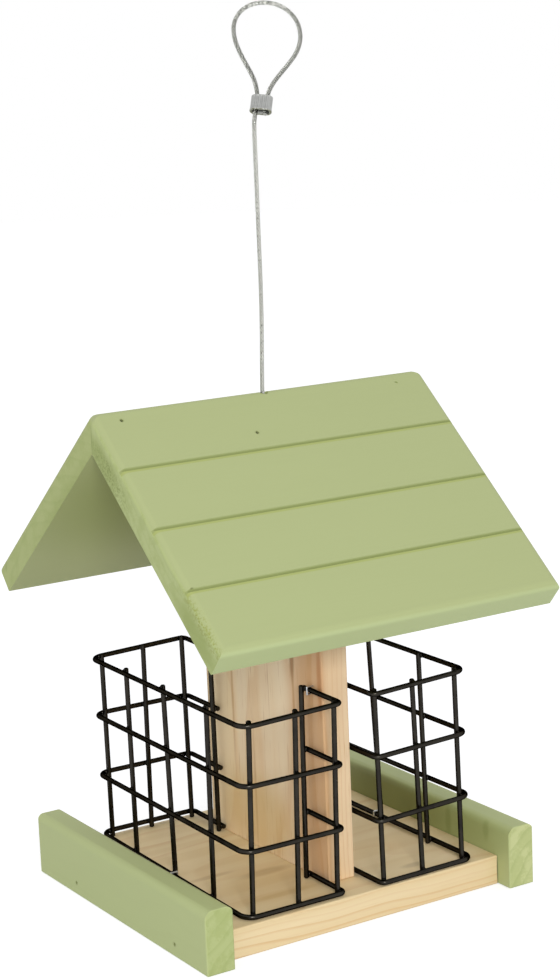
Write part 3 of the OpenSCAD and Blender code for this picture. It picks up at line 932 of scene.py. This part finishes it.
@dataclass(frozen=True)
class Ferrule:
    """Oval aluminium sleeve that is pressed over both legs of the loop.

    Attributes:
        centre: Its middle in the loop's axes, in mm.
        lean: Its lean to the back in degrees.
        tilt: Its tilt in the loop's plane in degrees.
        thick: Its thickness across the loop's plane in mm.
        pitch: Distance between the middles of its two round sides in mm.
        storeys: Heights in mm of the steps in its wall, from the foot to the mouth.
        die_marks: Places in mm, along its broad sides, of the marks that the press left.
        mark_width: Half the width of a mark in mm.
        marked: Shares of its length between which the marks lie.
        pressed: Share of its thickness that is left in a mark.
        foot: Share of its length that the flared foot takes.
        flare: How much the foot is wider than the wall, along and across.
        lip: Width and height of the lip round each mouth, in mm.
        wall: Thickness of the wall inside the lip, in mm.
        mouths: Depth in mm of the mouth at the top and at the foot.
        rounding: Radius of its edges in mm.
        corners: Corners of the circle that its outline is drawn from.
        flat_cuts: Cuts across each flat side, which the marks need.
    """

    centre: Point = (7.1, 6.2, 493.2)
    lean: float = 34.0
    tilt: float = 8.0
    thick: float = 7.2
    pitch: float = 6.0
    storeys: tuple[float, ...] = (0.8, 0.9, 0.8, 5.0, 0.9, 0.8, 0.8)
    die_marks: tuple[float, ...] = (-4.4, -2.2, 0.0, 2.2, 4.4)
    mark_width: float = 0.5
    marked: tuple[float, float] = (0.16, 0.95)
    pressed: float = 0.88
    foot: float = 0.12
    flare: tuple[float, float] = (1.03, 1.05)
    lip: tuple[float, float] = (0.25, 0.22)
    wall: float = 1.15
    mouths: tuple[float, float] = (3.2, 4.6)
    rounding: float = 0.18
    corners: int = 64
    flat_cuts: int = 9

    def turn(self) -> Matrix:
        """Returns its turn in the loop's axes."""
        lean = Matrix.Rotation(math.radians(-self.lean), 3, "X")
        return lean @ Matrix.Rotation(math.radians(self.tilt), 3, "Y")

    def press(self) -> bpy.types.Object:
        """Models the sleeve with its die marks, flared foot and open mouths.

        Returns:
            The ferrule as one mesh that stands on the origin.
        """
        half, length = self.thick / 2 * MM, sum(self.storeys) * MM
        deselect()
        bpy.ops.mesh.primitive_circle_add(
            vertices=self.corners, radius=half, fill_type="NGON", location=(0, 0, 0)
        )
        shell = bpy.context.object
        shell.name = "ferrule_shell"
        bpy.ops.object.mode_set(mode="EDIT")
        # Draws the circle out to an oval with two flat sides, and cuts those up for the marks
        for sign in (-1, 1):
            pick(Part.VERTICES, lambda v, s=sign: v.co.x * s > 1e-6)
            bpy.ops.transform.translate(value=(sign * self.pitch / 2 * MM, 0, 0))
        pick(Part.EDGES, lambda e: e.calc_length() > self.pitch / 2 * MM)
        bpy.ops.mesh.subdivide(number_cuts=self.flat_cuts)
        # Raises the wall in steps, from the foot to the mouth
        pick(Part.FACES, lambda f: True)
        for storey in self.storeys:
            bpy.ops.mesh.extrude_region_move(TRANSFORM_OT_translate={"value": (0, 0, storey * MM)})
        # Presses the die marks into both broad sides, and flares the foot
        for mark in self.die_marks:
            pick(Part.VERTICES, lambda v, m=mark: self.in_mark(v.co, m, half, length))
            bpy.ops.transform.resize(value=(1, self.pressed, 1))
        pick(Part.VERTICES, lambda v: v.co.z < self.foot * length)
        bpy.ops.transform.resize(value=(*self.flare, 1))
        # Opens both ends to an oval mouth
        for end, outward, depth in ((length, 1, self.mouths[0]), (0.0, -1, self.mouths[1])):
            pick(Part.FACES, lambda f, e=end: level_at(f, e))
            bpy.ops.mesh.inset(thickness=self.lip[0] * MM, depth=0.0)
            bpy.ops.transform.translate(value=(0, 0, outward * self.lip[1] * MM))
            bpy.ops.mesh.inset(thickness=self.wall * MM, depth=0.0)
            bpy.ops.mesh.extrude_region_move(TRANSFORM_OT_translate={"value": (0, 0, -outward * depth * MM)})
        bpy.ops.mesh.select_all(action="SELECT")
        bpy.ops.mesh.normals_make_consistent(inside=False)
        bpy.ops.object.mode_set(mode="OBJECT")
        rim = shell.modifiers.new("rim", "BEVEL")
        rim.width, rim.segments, rim.angle_limit = self.rounding * MM, 2, math.radians(50)
        bpy.ops.object.modifier_apply(modifier="rim")
        bpy.ops.object.shade_smooth_by_angle(angle=math.radians(40))
        return shell

    def in_mark(self, place: Vector, mark: float, half: float, length: float) -> bool:
        """Tests whether a vertex of a broad side lies in a die mark.

        Args:
            place: The vertex's place in metres.
            mark: Place of the mark along the side in mm.
            half: Half the ferrule's thickness in metres.
            length: Its length in metres.

        Returns:
            Whether the press moves the vertex.
        """
        low, high = (share * length for share in self.marked)
        beside = abs(place.x - mark * MM) < self.mark_width * MM and abs(place.y) > 0.4 * half
        return beside and low < place.z < high


@dataclass
class Cable:
    """Stranded steel cable in a clear sleeve, with its loop and pressed ferrule.

    Attributes:
        turn: The loop's plane, turned about Z, in degrees.
        route: Route of the middle line: across, back and up, in mm.
        sleeve: Diameter over the clear sleeve.
        wire: Diameter of one wire of the strand.
        lay: Length in which a wire runs once round the core.
        wires: Number of wires wound round the core.
        facets: Flat faces round one wire.
        tail: Length of each step by which the cut wires stand out.
        tail_steps: Number of those steps.
        spread: How much further out the cut wires stand after each of those steps.
        ferrule: The ferrule that closes the loop.
    """

    turn: float = -32.0
    route: tuple[Point, ...] = (
        (0, 0, 262), (0, 0, 274), (0, 0, 290), (0.1, 0, 306), (0.3, 0, 320), (0.8, 0.2, 336),
        (1.4, 0.3, 352), (1.9, 0.4, 372), (2.1, 0.5, 395), (2.1, 0.5, 418), (2.1, 0.5, 440),
        (2.1, 0.5, 460), (2.1, 0.5, 474), (2.2, 0.6, 481), (2.5, 1.1, 484.7), (3, 2.3, 487.5),
        (3.4, 3.6, 489.4), (4.1, 6.4, 493.5), (4.8, 9.2, 497.6), (4.5, 12.1, 502.5),
        (3.5, 14.8, 507.2), (1.6, 17.4, 511.9), (-0.7, 19.9, 516.5), (-3.1, 22.2, 521.2),
        (-5.3, 24.5, 526.1), (-7.1, 26.6, 531.1), (-8, 28.7, 536.3), (-7.8, 30.7, 541.5),
        (-6, 32.4, 546.2), (-2.6, 33.6, 550.1), (2.1, 34.5, 552.8), (7.7, 34.9, 554.1),
        (13.5, 34.9, 554), (19.2, 34.4, 552.6), (24.2, 33.6, 549.9), (28.3, 32.4, 546.1),
        (31.1, 30.7, 541.6), (32.5, 28.8, 536.6), (32.6, 26.7, 531.4), (31.3, 24.6, 526.5),
        (28.9, 22.6, 521.9), (25.6, 20.5, 517.7), (22, 18.4, 513.7), (18.3, 16.2, 509.7),
        (14.9, 13.9, 505.6), (12.3, 11.4, 501.4), (10.8, 8.7, 497), (10.1, 5.9, 492.9),
        (9.4, 3.2, 488.8), (9.2, 2.5, 487.8),
    )
    sleeve: float = 2.8
    wire: float = 0.74
    lay: float = 12.5
    wires: int = 6
    facets: int = 8
    tail: float = 0.3
    tail_steps: int = 3
    spread: float = 0.12
    ferrule: Ferrule = Ferrule()

    def to_feeder(self) -> Matrix:
        """Returns the turn from the loop's axes to the feeder's."""
        return Matrix.Rotation(math.radians(self.turn), 4, "Z")

    def smooth_line(self, spacing: float) -> list[Vector]:
        """Draws a smooth line through the route.

        Args:
            spacing: Rough distance between its points in mm.

        Returns:
            Points in metres, in the feeder's axes.
        """
        points = [Vector(p) for p in self.route]
        ends = [points[0], *points, points[-1]]
        smooth = []
        for a, b, c, d in zip(ends, ends[1:], ends[2:], ends[3:]):
            first, second, third = c - a, 2 * a - 5 * b + 4 * c - d, 3 * b - a - 3 * c + d
            steps = max(1, round((c - b).length / spacing))
            for t in (k / steps for k in range(steps)):
                smooth.append(0.5 * (2 * b + first * t + second * t**2 + third * t**3))
        smooth.append(points[-1])
        return [self.to_feeder() @ (p * MM) for p in smooth]

    def tube(self, line: list[Vector]) -> bpy.types.Object:
        """Makes the sleeve.

        Args:
            line: Its middle line in metres.

        Returns:
            A curve object with one open spline.
        """
        data = bpy.data.curves.new("cable_sleeve", "CURVE")
        data.dimensions = "3D"
        data.bevel_depth = self.sleeve / 2 * MM
        data.bevel_resolution = 2
        data.use_fill_caps = True
        spline = data.splines.new("POLY")
        spline.points.add(len(line) - 1)
        spline.points.foreach_set("co", [x for p in line for x in (*p, 1.0)])
        spline.use_smooth = True
        return show("cable_sleeve", data)

    def carried(self) -> list[tuple[Vector, Vector, Vector, float]]:
        """Carries a frame along the cable without turning it, past the end by the cut wires.

        Returns:
            Place, way ahead, way to the side and run so far in metres, of each step.
        """
        middle = self.smooth_line(0.8)
        ahead = (middle[-1] - middle[-2]).normalized()
        middle += [middle[-1] + ahead * (k * self.tail * MM) for k in range(1, self.tail_steps + 1)]
        heading = (middle[1] - middle[0]).normalized()
        side, run, frames = heading.orthogonal().normalized(), 0.0, []
        for k, place in enumerate(middle):
            ahead = (middle[min(k + 1, len(middle) - 1)] - middle[max(k - 1, 0)]).normalized()
            side = heading.rotation_difference(ahead) @ side
            heading = ahead
            run += (place - middle[k - 1]).length if k else 0.0
            frames.append((place, ahead, side, run))
        return frames

    def strand(self) -> bpy.types.Object:
        """Winds the wires round the core.

        Returns:
            The strand as one mesh. Its UV map holds the way round each wire, from 0 where it
            faces out of the strand, and the run along the cable in metres.
        """
        frames, sides, core = self.carried(), self.facets, self.wires
        sleeve_end = len(frames) - 1 - self.tail_steps
        points, faces, uvs = [], [], []
        for wire in range(core + 1):
            first = len(points)
            for k, (place, ahead, side, run) in enumerate(frames):
                out = Quaternion(ahead, math.tau * (run / (self.lay * MM) + wire / core)) @ side
                spread = 1.0 + self.spread * max(0, k - sleeve_end)
                centre = place + out * (self.wire * MM * spread if wire < core else 0.0)
                for j in range(sides):
                    spoke = Quaternion(ahead, math.tau * j / sides) @ out
                    points.append(centre + spoke * (self.wire / 2 * MM))
            for k in range(len(frames) - 1):
                low, high = frames[k][3], frames[k + 1][3]
                for j in range(sides):
                    a, b = first + k * sides + j, first + k * sides + (j + 1) % sides
                    faces.append((a, b, b + sides, a + sides))
                    left, right = j / sides, (j + 1) / sides
                    uvs += [(left, low), (right, low), (right, high), (left, high)]
            last = len(points) - sides
            faces.append(tuple(range(first + sides - 1, first - 1, -1)))
            faces.append(tuple(range(last, last + sides)))
            uvs += [(0.0, frames[0][3])] * sides + [(0.0, frames[-1][3])] * sides
        data = bpy.data.meshes.new("cable_strand")
        data.from_pydata([tuple(p) for p in points], [], faces)
        data.uv_layers.new(name="wind").data.foreach_set("uv", [x for uv in uvs for x in uv])
        data.shade_smooth()
        return show("cable_strand", data)

    def close(self) -> bpy.types.Object:
        """Models the ferrule and moves its mesh to its place on the loop.

        Returns:
            The ferrule.
        """
        shell = self.ferrule.press()
        foot = Matrix.Translation((0, 0, -sum(self.ferrule.storeys) / 2 * MM))
        centre = Matrix.Translation(Vector(self.ferrule.centre) * MM)
        shell.data.transform(self.to_feeder() @ centre @ self.ferrule.turn().to_4x4() @ foot)
        shell.data.update()
        return shell

    def build(self) -> None:
        line = self.smooth_line(1.5)
        sleeve = self.tube(line)
        ClearSleeve("clear_pvc_sleeve").put_on(sleeve)
        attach(sleeve, FEEDER)
        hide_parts("hanging_cable")

        strand = self.strand()
        WoundWire("galvanised_wire_strand").put_on(strand)
        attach(strand, FEEDER)

        shell = self.close()
        foot = self.to_feeder().to_3x3() @ self.ferrule.turn() @ Vector((0, 0, -1))
        # Soft grey sheen, with crumbs and smears on its torn foot; their pits are painted shade and their
        # tips painted glints
        aluminium = Metal("pressed_aluminium", "#B6B7B5", "#9D9E9C", 2.5, (0.42, 0.6), torn=tuple(foot))
        aluminium.put_on(shell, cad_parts["cable_stop"])
        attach(shell, FEEDER)
        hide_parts("crimp_ferrule")


# Cages


@dataclass(frozen=True)
class Stance:
    """How a hand-bent cage stands off true, in mm and degrees.

    Attributes:
        foot: Out from the post, to the back and turned about Z, at the bottom ring.
        rim: The same at the top ring.
        rings: Rise, tilt up to the back and tilt up outwards of each ring.
        along: Shift of the foot and the top of each upright along its wall: those in the
            middle of the front and back end, then the three of the long side.
    """

    foot: Point
    rim: Point
    rings: tuple[Point, ...]
    along: tuple[tuple[float, float], ...]


STANCES = {
    Side.LEFT: Stance(
        foot=(0.6, 0.5, 0.4),
        rim=(1.02, -1.1, -0.65),
        rings=((0.3, 0.45, 0), (1.3, 0.5, 0.3), (2, 0.6, 0.35), (0.5, 1.05, -1.15)),
        along=((-3.3, -3.6), (-0.9, -2.5), (-2.6, -0.6), (-1.3, 4.6), (3, 4.6)),
    ),
    Side.RIGHT: Stance(
        foot=(0.9, -2.6, 0.5),
        rim=(0.8, -0.1, 0),
        rings=((0, 0, 0), (0.15, -0.1, 1.6), (1.6, 0.25, 1.7), (1.3, 0.1, 2.1)),
        along=((-2.3, -3.7), (0, 0), (-2.6, -0.9), (2.2, 9), (0, 0)),
    ),
}


@dataclass
class Cage:
    """Weld beads and coat of one wire cage.

    Attributes:
        side: Which side of the post it is on.
        wire: Diameter of the coated wire.
        inner: Distance of the ring's middle line from the middle of the post, next to it.
        outer: The same for the ring's long side.
        half: Half of the ring's length.
        returned: Length of each end that turns back against the post.
        outer_bend: Bend radius of the outer corners.
        inner_bend: Bend radius of the corners beside the post.
        sink: Distance from the middle of a ring's wire to the middle of an upright.
        first_ring: Height of the lowest ring.
        ring_pitch: From one ring to the next.
        upright_foot: Height of the uprights' lower tips.
        tip: How far their upper tips stand above the middle of the top ring.
        weld_turns: Where the uprights of an outer and an inner corner are welded on, in
            degrees from the bend's front, outwards.
        bead_radius: Radius of a weld bead.
        bead_flat: Share of its height that is left.
        bead_waist: Share of its width that is left over each wire.
        bead_ends: Shares of its radius: how far out its ends over the wires start, and half
            their width.
    """

    side: Side
    wire: float = 3.2
    inner: float = 11.4
    outer: float = 81.4
    half: float = 92.5
    returned: float = 40.4
    outer_bend: float = 8.0
    inner_bend: float = 4.0
    sink: float = 3.0
    first_ring: float = 21.4
    ring_pitch: float = 40.0
    upright_foot: float = 19.15
    tip: float = 2.4
    weld_turns: tuple[float, float] = (20.0, -45.0)
    bead_radius: float = 1.9
    bead_flat: float = 0.5
    bead_waist: float = 0.86
    bead_ends: tuple[float, float] = (0.66, 0.32)

    def ring_height(self, ring: int) -> float:
        """Returns the height of the middle of a ring in mm."""
        return self.first_ring + ring * self.ring_pitch + STANCES[self.side].rings[ring][0]

    def ring_place(self, ring: int) -> Matrix:
        """Finds where a ring stands.

        Args:
            ring: Its number from the bottom.

        Returns:
            Turn and shift from the true ring at Z = 0, in mm, to the ring as it stands.
        """
        stance, height = STANCES[self.side], self.ring_height(ring)
        share = (height - self.first_ring) / ((RINGS - 1) * self.ring_pitch)
        out, back, turn = (a + (b - a) * share for a, b in zip(stance.foot, stance.rim))
        _, tilt, roll = stance.rings[ring]
        middle = (self.inner + self.outer) / 2
        return (
            Matrix.Diagonal((self.side.value, 1, 1, 1))
            @ Matrix.Translation((self.inner + out, back, 0))
            @ Matrix.Rotation(math.radians(turn), 4, "Z")
            @ Matrix.Translation((middle - self.inner, 0, height))
            @ Matrix.Rotation(math.radians(-roll), 4, "Y")
            @ Matrix.Rotation(math.radians(tilt), 4, "X")
            @ Matrix.Translation((-middle, 0, 0))
        )

    def crossings(self, ring: int) -> list[tuple[Vector, Vector]]:
        """Finds where the uprights touch a ring.

        Args:
            ring: Its number from the bottom.

        Returns:
            Places on the true ring of the +X side, with the way from the upright to the
            ring's wire.
        """
        top = self.ring_height(RINGS - 1) + self.tip
        share = (self.ring_height(ring) - self.upright_foot) / (top - self.upright_foot)
        front, back, *long_side = (a + (b - a) * share for a, b in STANCES[self.side].along)
        corners = (
            (self.outer - self.outer_bend, self.outer_bend, self.weld_turns[0]),
            (self.inner + self.inner_bend, self.inner_bend, self.weld_turns[1]),
        )
        ends = []
        for x, radius, turn in corners:
            way = Vector((math.sin(math.radians(turn)), -math.cos(math.radians(turn)), 0))
            ends.append((Vector((x, radius - self.half, 0)) + way * (radius - self.sink / 2), way))
        tip = self.returned - self.wire / 2 - self.half
        ends.append((Vector((self.inner + self.sink / 2, tip, 0)), Vector((-1, 0, 0))))
        mirrored = [(Vector((p.x, -p.y, 0)), Vector((w.x, -w.y, 0))) for p, w in ends]
        middle = (self.inner + self.outer) / 2
        walls = [
            (Vector((middle + shift, way * (self.half - self.sink / 2), 0)), Vector((0, way, 0)))
            for shift, way in ((front, -1), (back, 1))
        ]
        walls += [
            (Vector((self.outer - self.sink / 2, k * self.half / 2 + shift, 0)), Vector((1, 0, 0)))
            for k, shift in zip((-1, 0, 1), long_side)
        ]
        return ends + mirrored + walls

    def bead(self) -> bpy.types.Mesh:
        """Models one weld bead: a squeezed cushion with a waist where the two wires meet.

        Returns:
            Mesh about the origin, flat along Z.
        """
        far, near = (share * self.bead_radius * MM for share in self.bead_ends)
        deselect()
        bpy.ops.mesh.primitive_uv_sphere_add(
            segments=16, ring_count=10, radius=self.bead_radius * MM, location=(0, 0, 0)
        )
        bead = bpy.context.object
        bpy.ops.object.mode_set(mode="EDIT")
        bpy.ops.mesh.select_all(action="SELECT")
        bpy.ops.transform.resize(value=(1.0, 1.0, self.bead_flat))
        # Draws its four ends over the wires in, which leaves a lobe between each two of them
        pick(Part.VERTICES, lambda v: abs(v.co.x) > far and abs(v.co.y) < near)
        bpy.ops.transform.resize(value=(self.bead_waist, 1, 1))
        pick(Part.VERTICES, lambda v: abs(v.co.y) > far and abs(v.co.x) < near)
        bpy.ops.transform.resize(value=(1, self.bead_waist, 1))
        bpy.ops.object.mode_set(mode="OBJECT")
        bpy.ops.object.shade_smooth()
        mesh = bead.data.copy()
        bpy.data.objects.remove(bead)
        return mesh

    def weld(self) -> bpy.types.Object:
        """Lays a bead at every crossing of an upright and a ring.

        Returns:
            All the beads of the cage as one mesh.
        """
        pattern, scale, beads = self.bead(), Matrix.Scale(MM, 4), []
        for ring in range(RINGS):
            stand = scale @ self.ring_place(ring) @ scale.inverted()
            for place, way in self.crossings(ring):
                turn = way.to_track_quat("Z", "Y").to_matrix().to_4x4()
                mesh = pattern.copy()
                mesh.transform(stand @ Matrix.Translation(place * MM) @ turn)
                if self.side is Side.LEFT:
                    mesh.flip_normals()
                beads.append(show("bead", mesh))
        deselect()
        for bead in beads:
            bead.select_set(True)
        bpy.context.view_layer.objects.active = beads[0]
        bpy.ops.object.join()
        LOG.info("%s cage: %d weld beads", self.side.name.lower(), len(beads))
        return bpy.context.object

    def build(self) -> None:
        """Welds the cage and coats its rings, uprights and beads."""
        name = self.side.name.lower()
        welds = self.weld()
        welds.name = f"{name}_cage_welds"
        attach(welds, FEEDER)
        parts = ("bottom_ring", "lower_ring", "upper_ring", "top_ring", "uprights")
        wires = [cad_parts[f"{name}_cage_{part}"] for part in parts]
        PowderCoat("black_powder_coat").put_on(welds, *wires)


# Boards


@dataclass
class Boards:
    """All the boards with the brads, staples and screws that hold them.

    Attributes:
        rail_brads: Places along a rail of its two brads, in mm.
        brad_height: Their height.
        ridge_brads: Places along the ridge of the brads in the front board.
        ridge_down: How far down the slope they are.
        block_brad: Place along the ridge of the brad in the front's block; the back's mirrors it.
        block_down: How far down the slope it is.
    """

    rail_brads: tuple[float, float] = (-70.0, 56.0)
    brad_height: float = 8.0
    ridge_brads: tuple[float, float] = (-103.0, 97.0)
    ridge_down: float = 9.0
    block_brad: float = -20.2
    block_down: float = 33.0

    def in_rail(self, side: Side) -> tuple[Point, ...]:
        """Returns the places of the brads in a rail's outer face."""
        face = cad_end(f"{side.name.lower()}_rail", 0, far=side is Side.RIGHT)
        return tuple((face, y, self.brad_height) for y in self.rail_brads)

    def gable_marks(self) -> tuple[Mark, ...]:
        """Returns the marks on the front board's left end, where the end grain drank the paint."""
        x = cad_end("roof_front_board", 0)
        return (
            Mark((x, -122.0, 211.5), (6.0, 38.0, 6.0), "#8F9645", 0.85, turn=40.0, speckled=True),
            Mark((x, -114.0, 206.0), (3.0, 38.0, 10.0), "#8E9B52", 0.7, turn=40.0),
            Mark((x, -14.0, 290.0), (3.0, 30.0, 10.0), "#8A974E", 0.55, turn=40.0),
            Mark((x, -20.0, 285.0), (3.0, 38.0, 9.0), "#76833A", 0.7, turn=40.0, speckled=True),
            # The mitre's dark joint, and a drop of paint in the end of the last groove
            Mark((x, -0.6, 302.0), (3.0, 1.1, 15.0), "#7E8A45", 0.6),
            Mark((x + 4.0, -105.0, 231.0), (1.6, 1.2, 1.2), "#6E7440", 0.8),
        )

    def inner_marks(self) -> tuple[Mark, ...]:
        """Returns painted shade on the back board's inner face under the roof, and a line across its end."""
        x = cad_end("roof_back_board", 0)
        return (
            # Painted shade on the back board's inner face, under the roof
            Mark((-10.0, 42.0, 259.0), (165.0, 110.0, 12.0), "#7E8C3A", 0.7, turn=-40.0),
            Mark((x, 131.0, 206.0), (3.0, 1.4, 9.0), "#808C4A", 0.6),
        )

    def rail_marks(self) -> tuple[Mark, ...]:
        """Returns painted shade on the right rail's inner face, darkest toward its back, a knot in it and a
        smear.
        """
        x = cad_end("right_rail", 0)
        return (
            # Painted shade over the inner face, which faces the post, and deeper painted shade toward its
            # back
            Mark((x, -20.0, 34.0), (3.0, 130.0, 32.0), "#97A25E", 0.6),
            Mark((x, 36.0, 26.0), (3.0, 95.0, 36.0), "#6E6F33", 0.75),
            Mark((x, -84.0, 33.0), (3.0, 4.5, 10.0), "#8F9B5C", 0.6),
            Mark((x, -44.0, 28.0), (3.0, 4.5, 14.0), "#7F8A48", 0.5),
        )

    def base_marks(self) -> tuple[Mark, ...]:
        """Returns the smudges on the base's top, and the dark seam at its right end."""
        x, y, z = (cad_end("base_board", axis, far=axis != 1) for axis in range(3))
        return (
            Mark((-30.0, -28.0, z), (26.0, 7.0, 4.0), "#A07B4C", 0.4),
            Mark((-62.0, -14.0, z), (22.0, 4.0, 4.0), "#AF8955", 0.35),
            Mark((-40.0, -66.0, z), (34.0, 5.0, 4.0), "#B8965C", 0.35),
            Mark((-35.0, -56.0, z), (62.0, 38.0, 4.0), "#CBA262", 0.3),
            Mark((50.0, -76.0, z), (12.0, 5.0, 4.0), "#7E6640", 0.3),
            Mark((x, y, z / 2), (1.3, 3.0, 15.0), "#544F2D", 0.9),
        )

    def post_marks(self) -> tuple[Mark, ...]:
        """Returns the warm heart wood and dark streaks of the post's left face, a lighter band of painted
        light at its back, and its front.
        """
        x, y = cad_end("center_post", 0), cad_end("center_post", 1)
        return (
            # A lighter band at the back of the left face is painted light
            Mark((x, 52.0, 100.0), (6.0, 26.0, 190.0), "#FFE6B8", 0.5),
            Mark((x, -58.0, 100.0), (6.0, 38.0, 190.0), "#C98B4A", 0.6),
            Mark((x, 12.0, 42.0), (6.0, 62.0, 38.0), "#CCA43C", 0.4),
            Mark((x, -36.5, 157.0), (4.0, 3.6, 22.0), "#93632F", 0.75),
            Mark((x, -37.0, 112.0), (3.0, 1.8, 60.0), "#B8834A", 0.5),
            Mark((x, -67.5, 150.0), (3.0, 4.0, 34.0), "#B9712F", 0.6),
            Mark((x, 37.0, 120.0), (3.0, 1.8, 70.0), "#B8813F", 0.45),
            Mark((x, 13.0, 60.0), (3.0, 2.0, 60.0), "#B98A4E", 0.35),
            Mark((0.0, y, 60.0), (16.0, 3.0, 150.0), "#D8B07C", 0.4),
            Mark((0.0, y, 165.0), (16.0, 3.0, 80.0), "#DDBA93", 0.55),
        )

    def paint(self) -> None:
        """Paints the two slopes, the two rails and the blocks under the ridge."""
        ridge_left, ridge_right = (Slope.FRONT.point(x, self.ridge_down) for x in self.ridge_brads)
        # The roof boards wear a darker copy of the rails' paint, as painted shade on the slopes, and each
        # board's end tone is set to how bright its ends look, as painted light and shade
        coats = {
            "left_rail": {
                "lumber": Lumber(Grain.ALONG_Y, (-60.0, -40.0), 9.0),
                "brads": self.in_rail(Side.LEFT),
                "ends": "#AEB87C",
            },
            "right_rail": {
                "lumber": Lumber(Grain.ALONG_Y, (165.0, -45.0), 9.0),
                "brads": self.in_rail(Side.RIGHT),
                "marks": self.rail_marks(),
                "ends": "#C3C88E",
            },
            "roof_front_board": {
                "lumber": Lumber(Grain.ALONG_X, (-150.0, 330.0), 5.0),
                "brads": (ridge_left, Slope.FRONT.point(self.block_brad, self.block_down)),
                "slope": Slope.FRONT,
                "marks": self.gable_marks(),
                "film": "#A4AD78",
                "ends": "#B0BB7E",
            },
            "roof_back_board": {
                "lumber": Lumber(Grain.ALONG_X, (40.0, 150.0), 7.0),
                "brads": (Slope.BACK.point(-self.block_brad, self.block_down),),
                "slope": Slope.BACK,
                "marks": self.inner_marks(),
                "film": "#A4AD78",
                "ends": "#A8B271",
            },
            "roof_left_block": {"lumber": Lumber(Grain.ALONG_Y, (30.0, 300.0))},
            "roof_right_block": {"lumber": Lumber(Grain.ALONG_Y, (-30.0, 300.0))},
        }
        for name, coat in coats.items():
            SageOnPine(f"sage_paint_{name}", **coat).put_on(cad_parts[name])
        # Dark, cloudy heads; the brad at the ridge's right end is the one that paint covers
        dull = Metal("dull_brad_steel", "#6B6B62", "#3F4037", 0.8, (0.45, 0.65), filled=ridge_right)
        dull.put_on(*[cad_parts[name] for name in ("rail_brads", "ridge_brads", "block_brads")])
        LOG.info("boards: %d painted", len(coats))

    def dress(self) -> None:
        """Dresses every board and fastening."""
        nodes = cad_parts
        self.paint()
        # Broad pale bands along the base, and straight warmer lines up the post
        base = PineTones("#EFDCB5", "#DCC18F", "#CC9859", threads=0.1)
        flat_sawn = Lumber(Grain.ALONG_X, (-30.0, -380.0), 5.0, 0.55)
        BarePine("bare_pine_base", flat_sawn, base, self.base_marks()).put_on(nodes["base_board"])
        post = PineTones("#FAE7C9", "#EDCB9C", "#CC8F4E", threads=0.42)
        edge_sawn = Lumber(Grain.ALONG_Z, (-300.0, -4.0), 3.6, 0.55)
        BarePine("bare_pine_post", edge_sawn, post, self.post_marks()).put_on(nodes["center_post"])
        # Pale plate with a sharp, cool shine
        zinc = Metal("bright_zinc", "#D2D3D4", "#A9ABAD", 1.5, (0.25, 0.4))
        zinc.put_on(*[nodes[name] for name in ("left_cage_staples", "right_cage_staples", "post_screws")])
        LOG.info("boards: 2 bare, with their staples and screws")


def main() -> None:
    """Builds the studio and dresses the feeder."""
    Studio().build()
    Cable().build()
    for side in Side:
        Cage(side).build()
    Boards().dress()


if __name__ == "__main__":
    main()
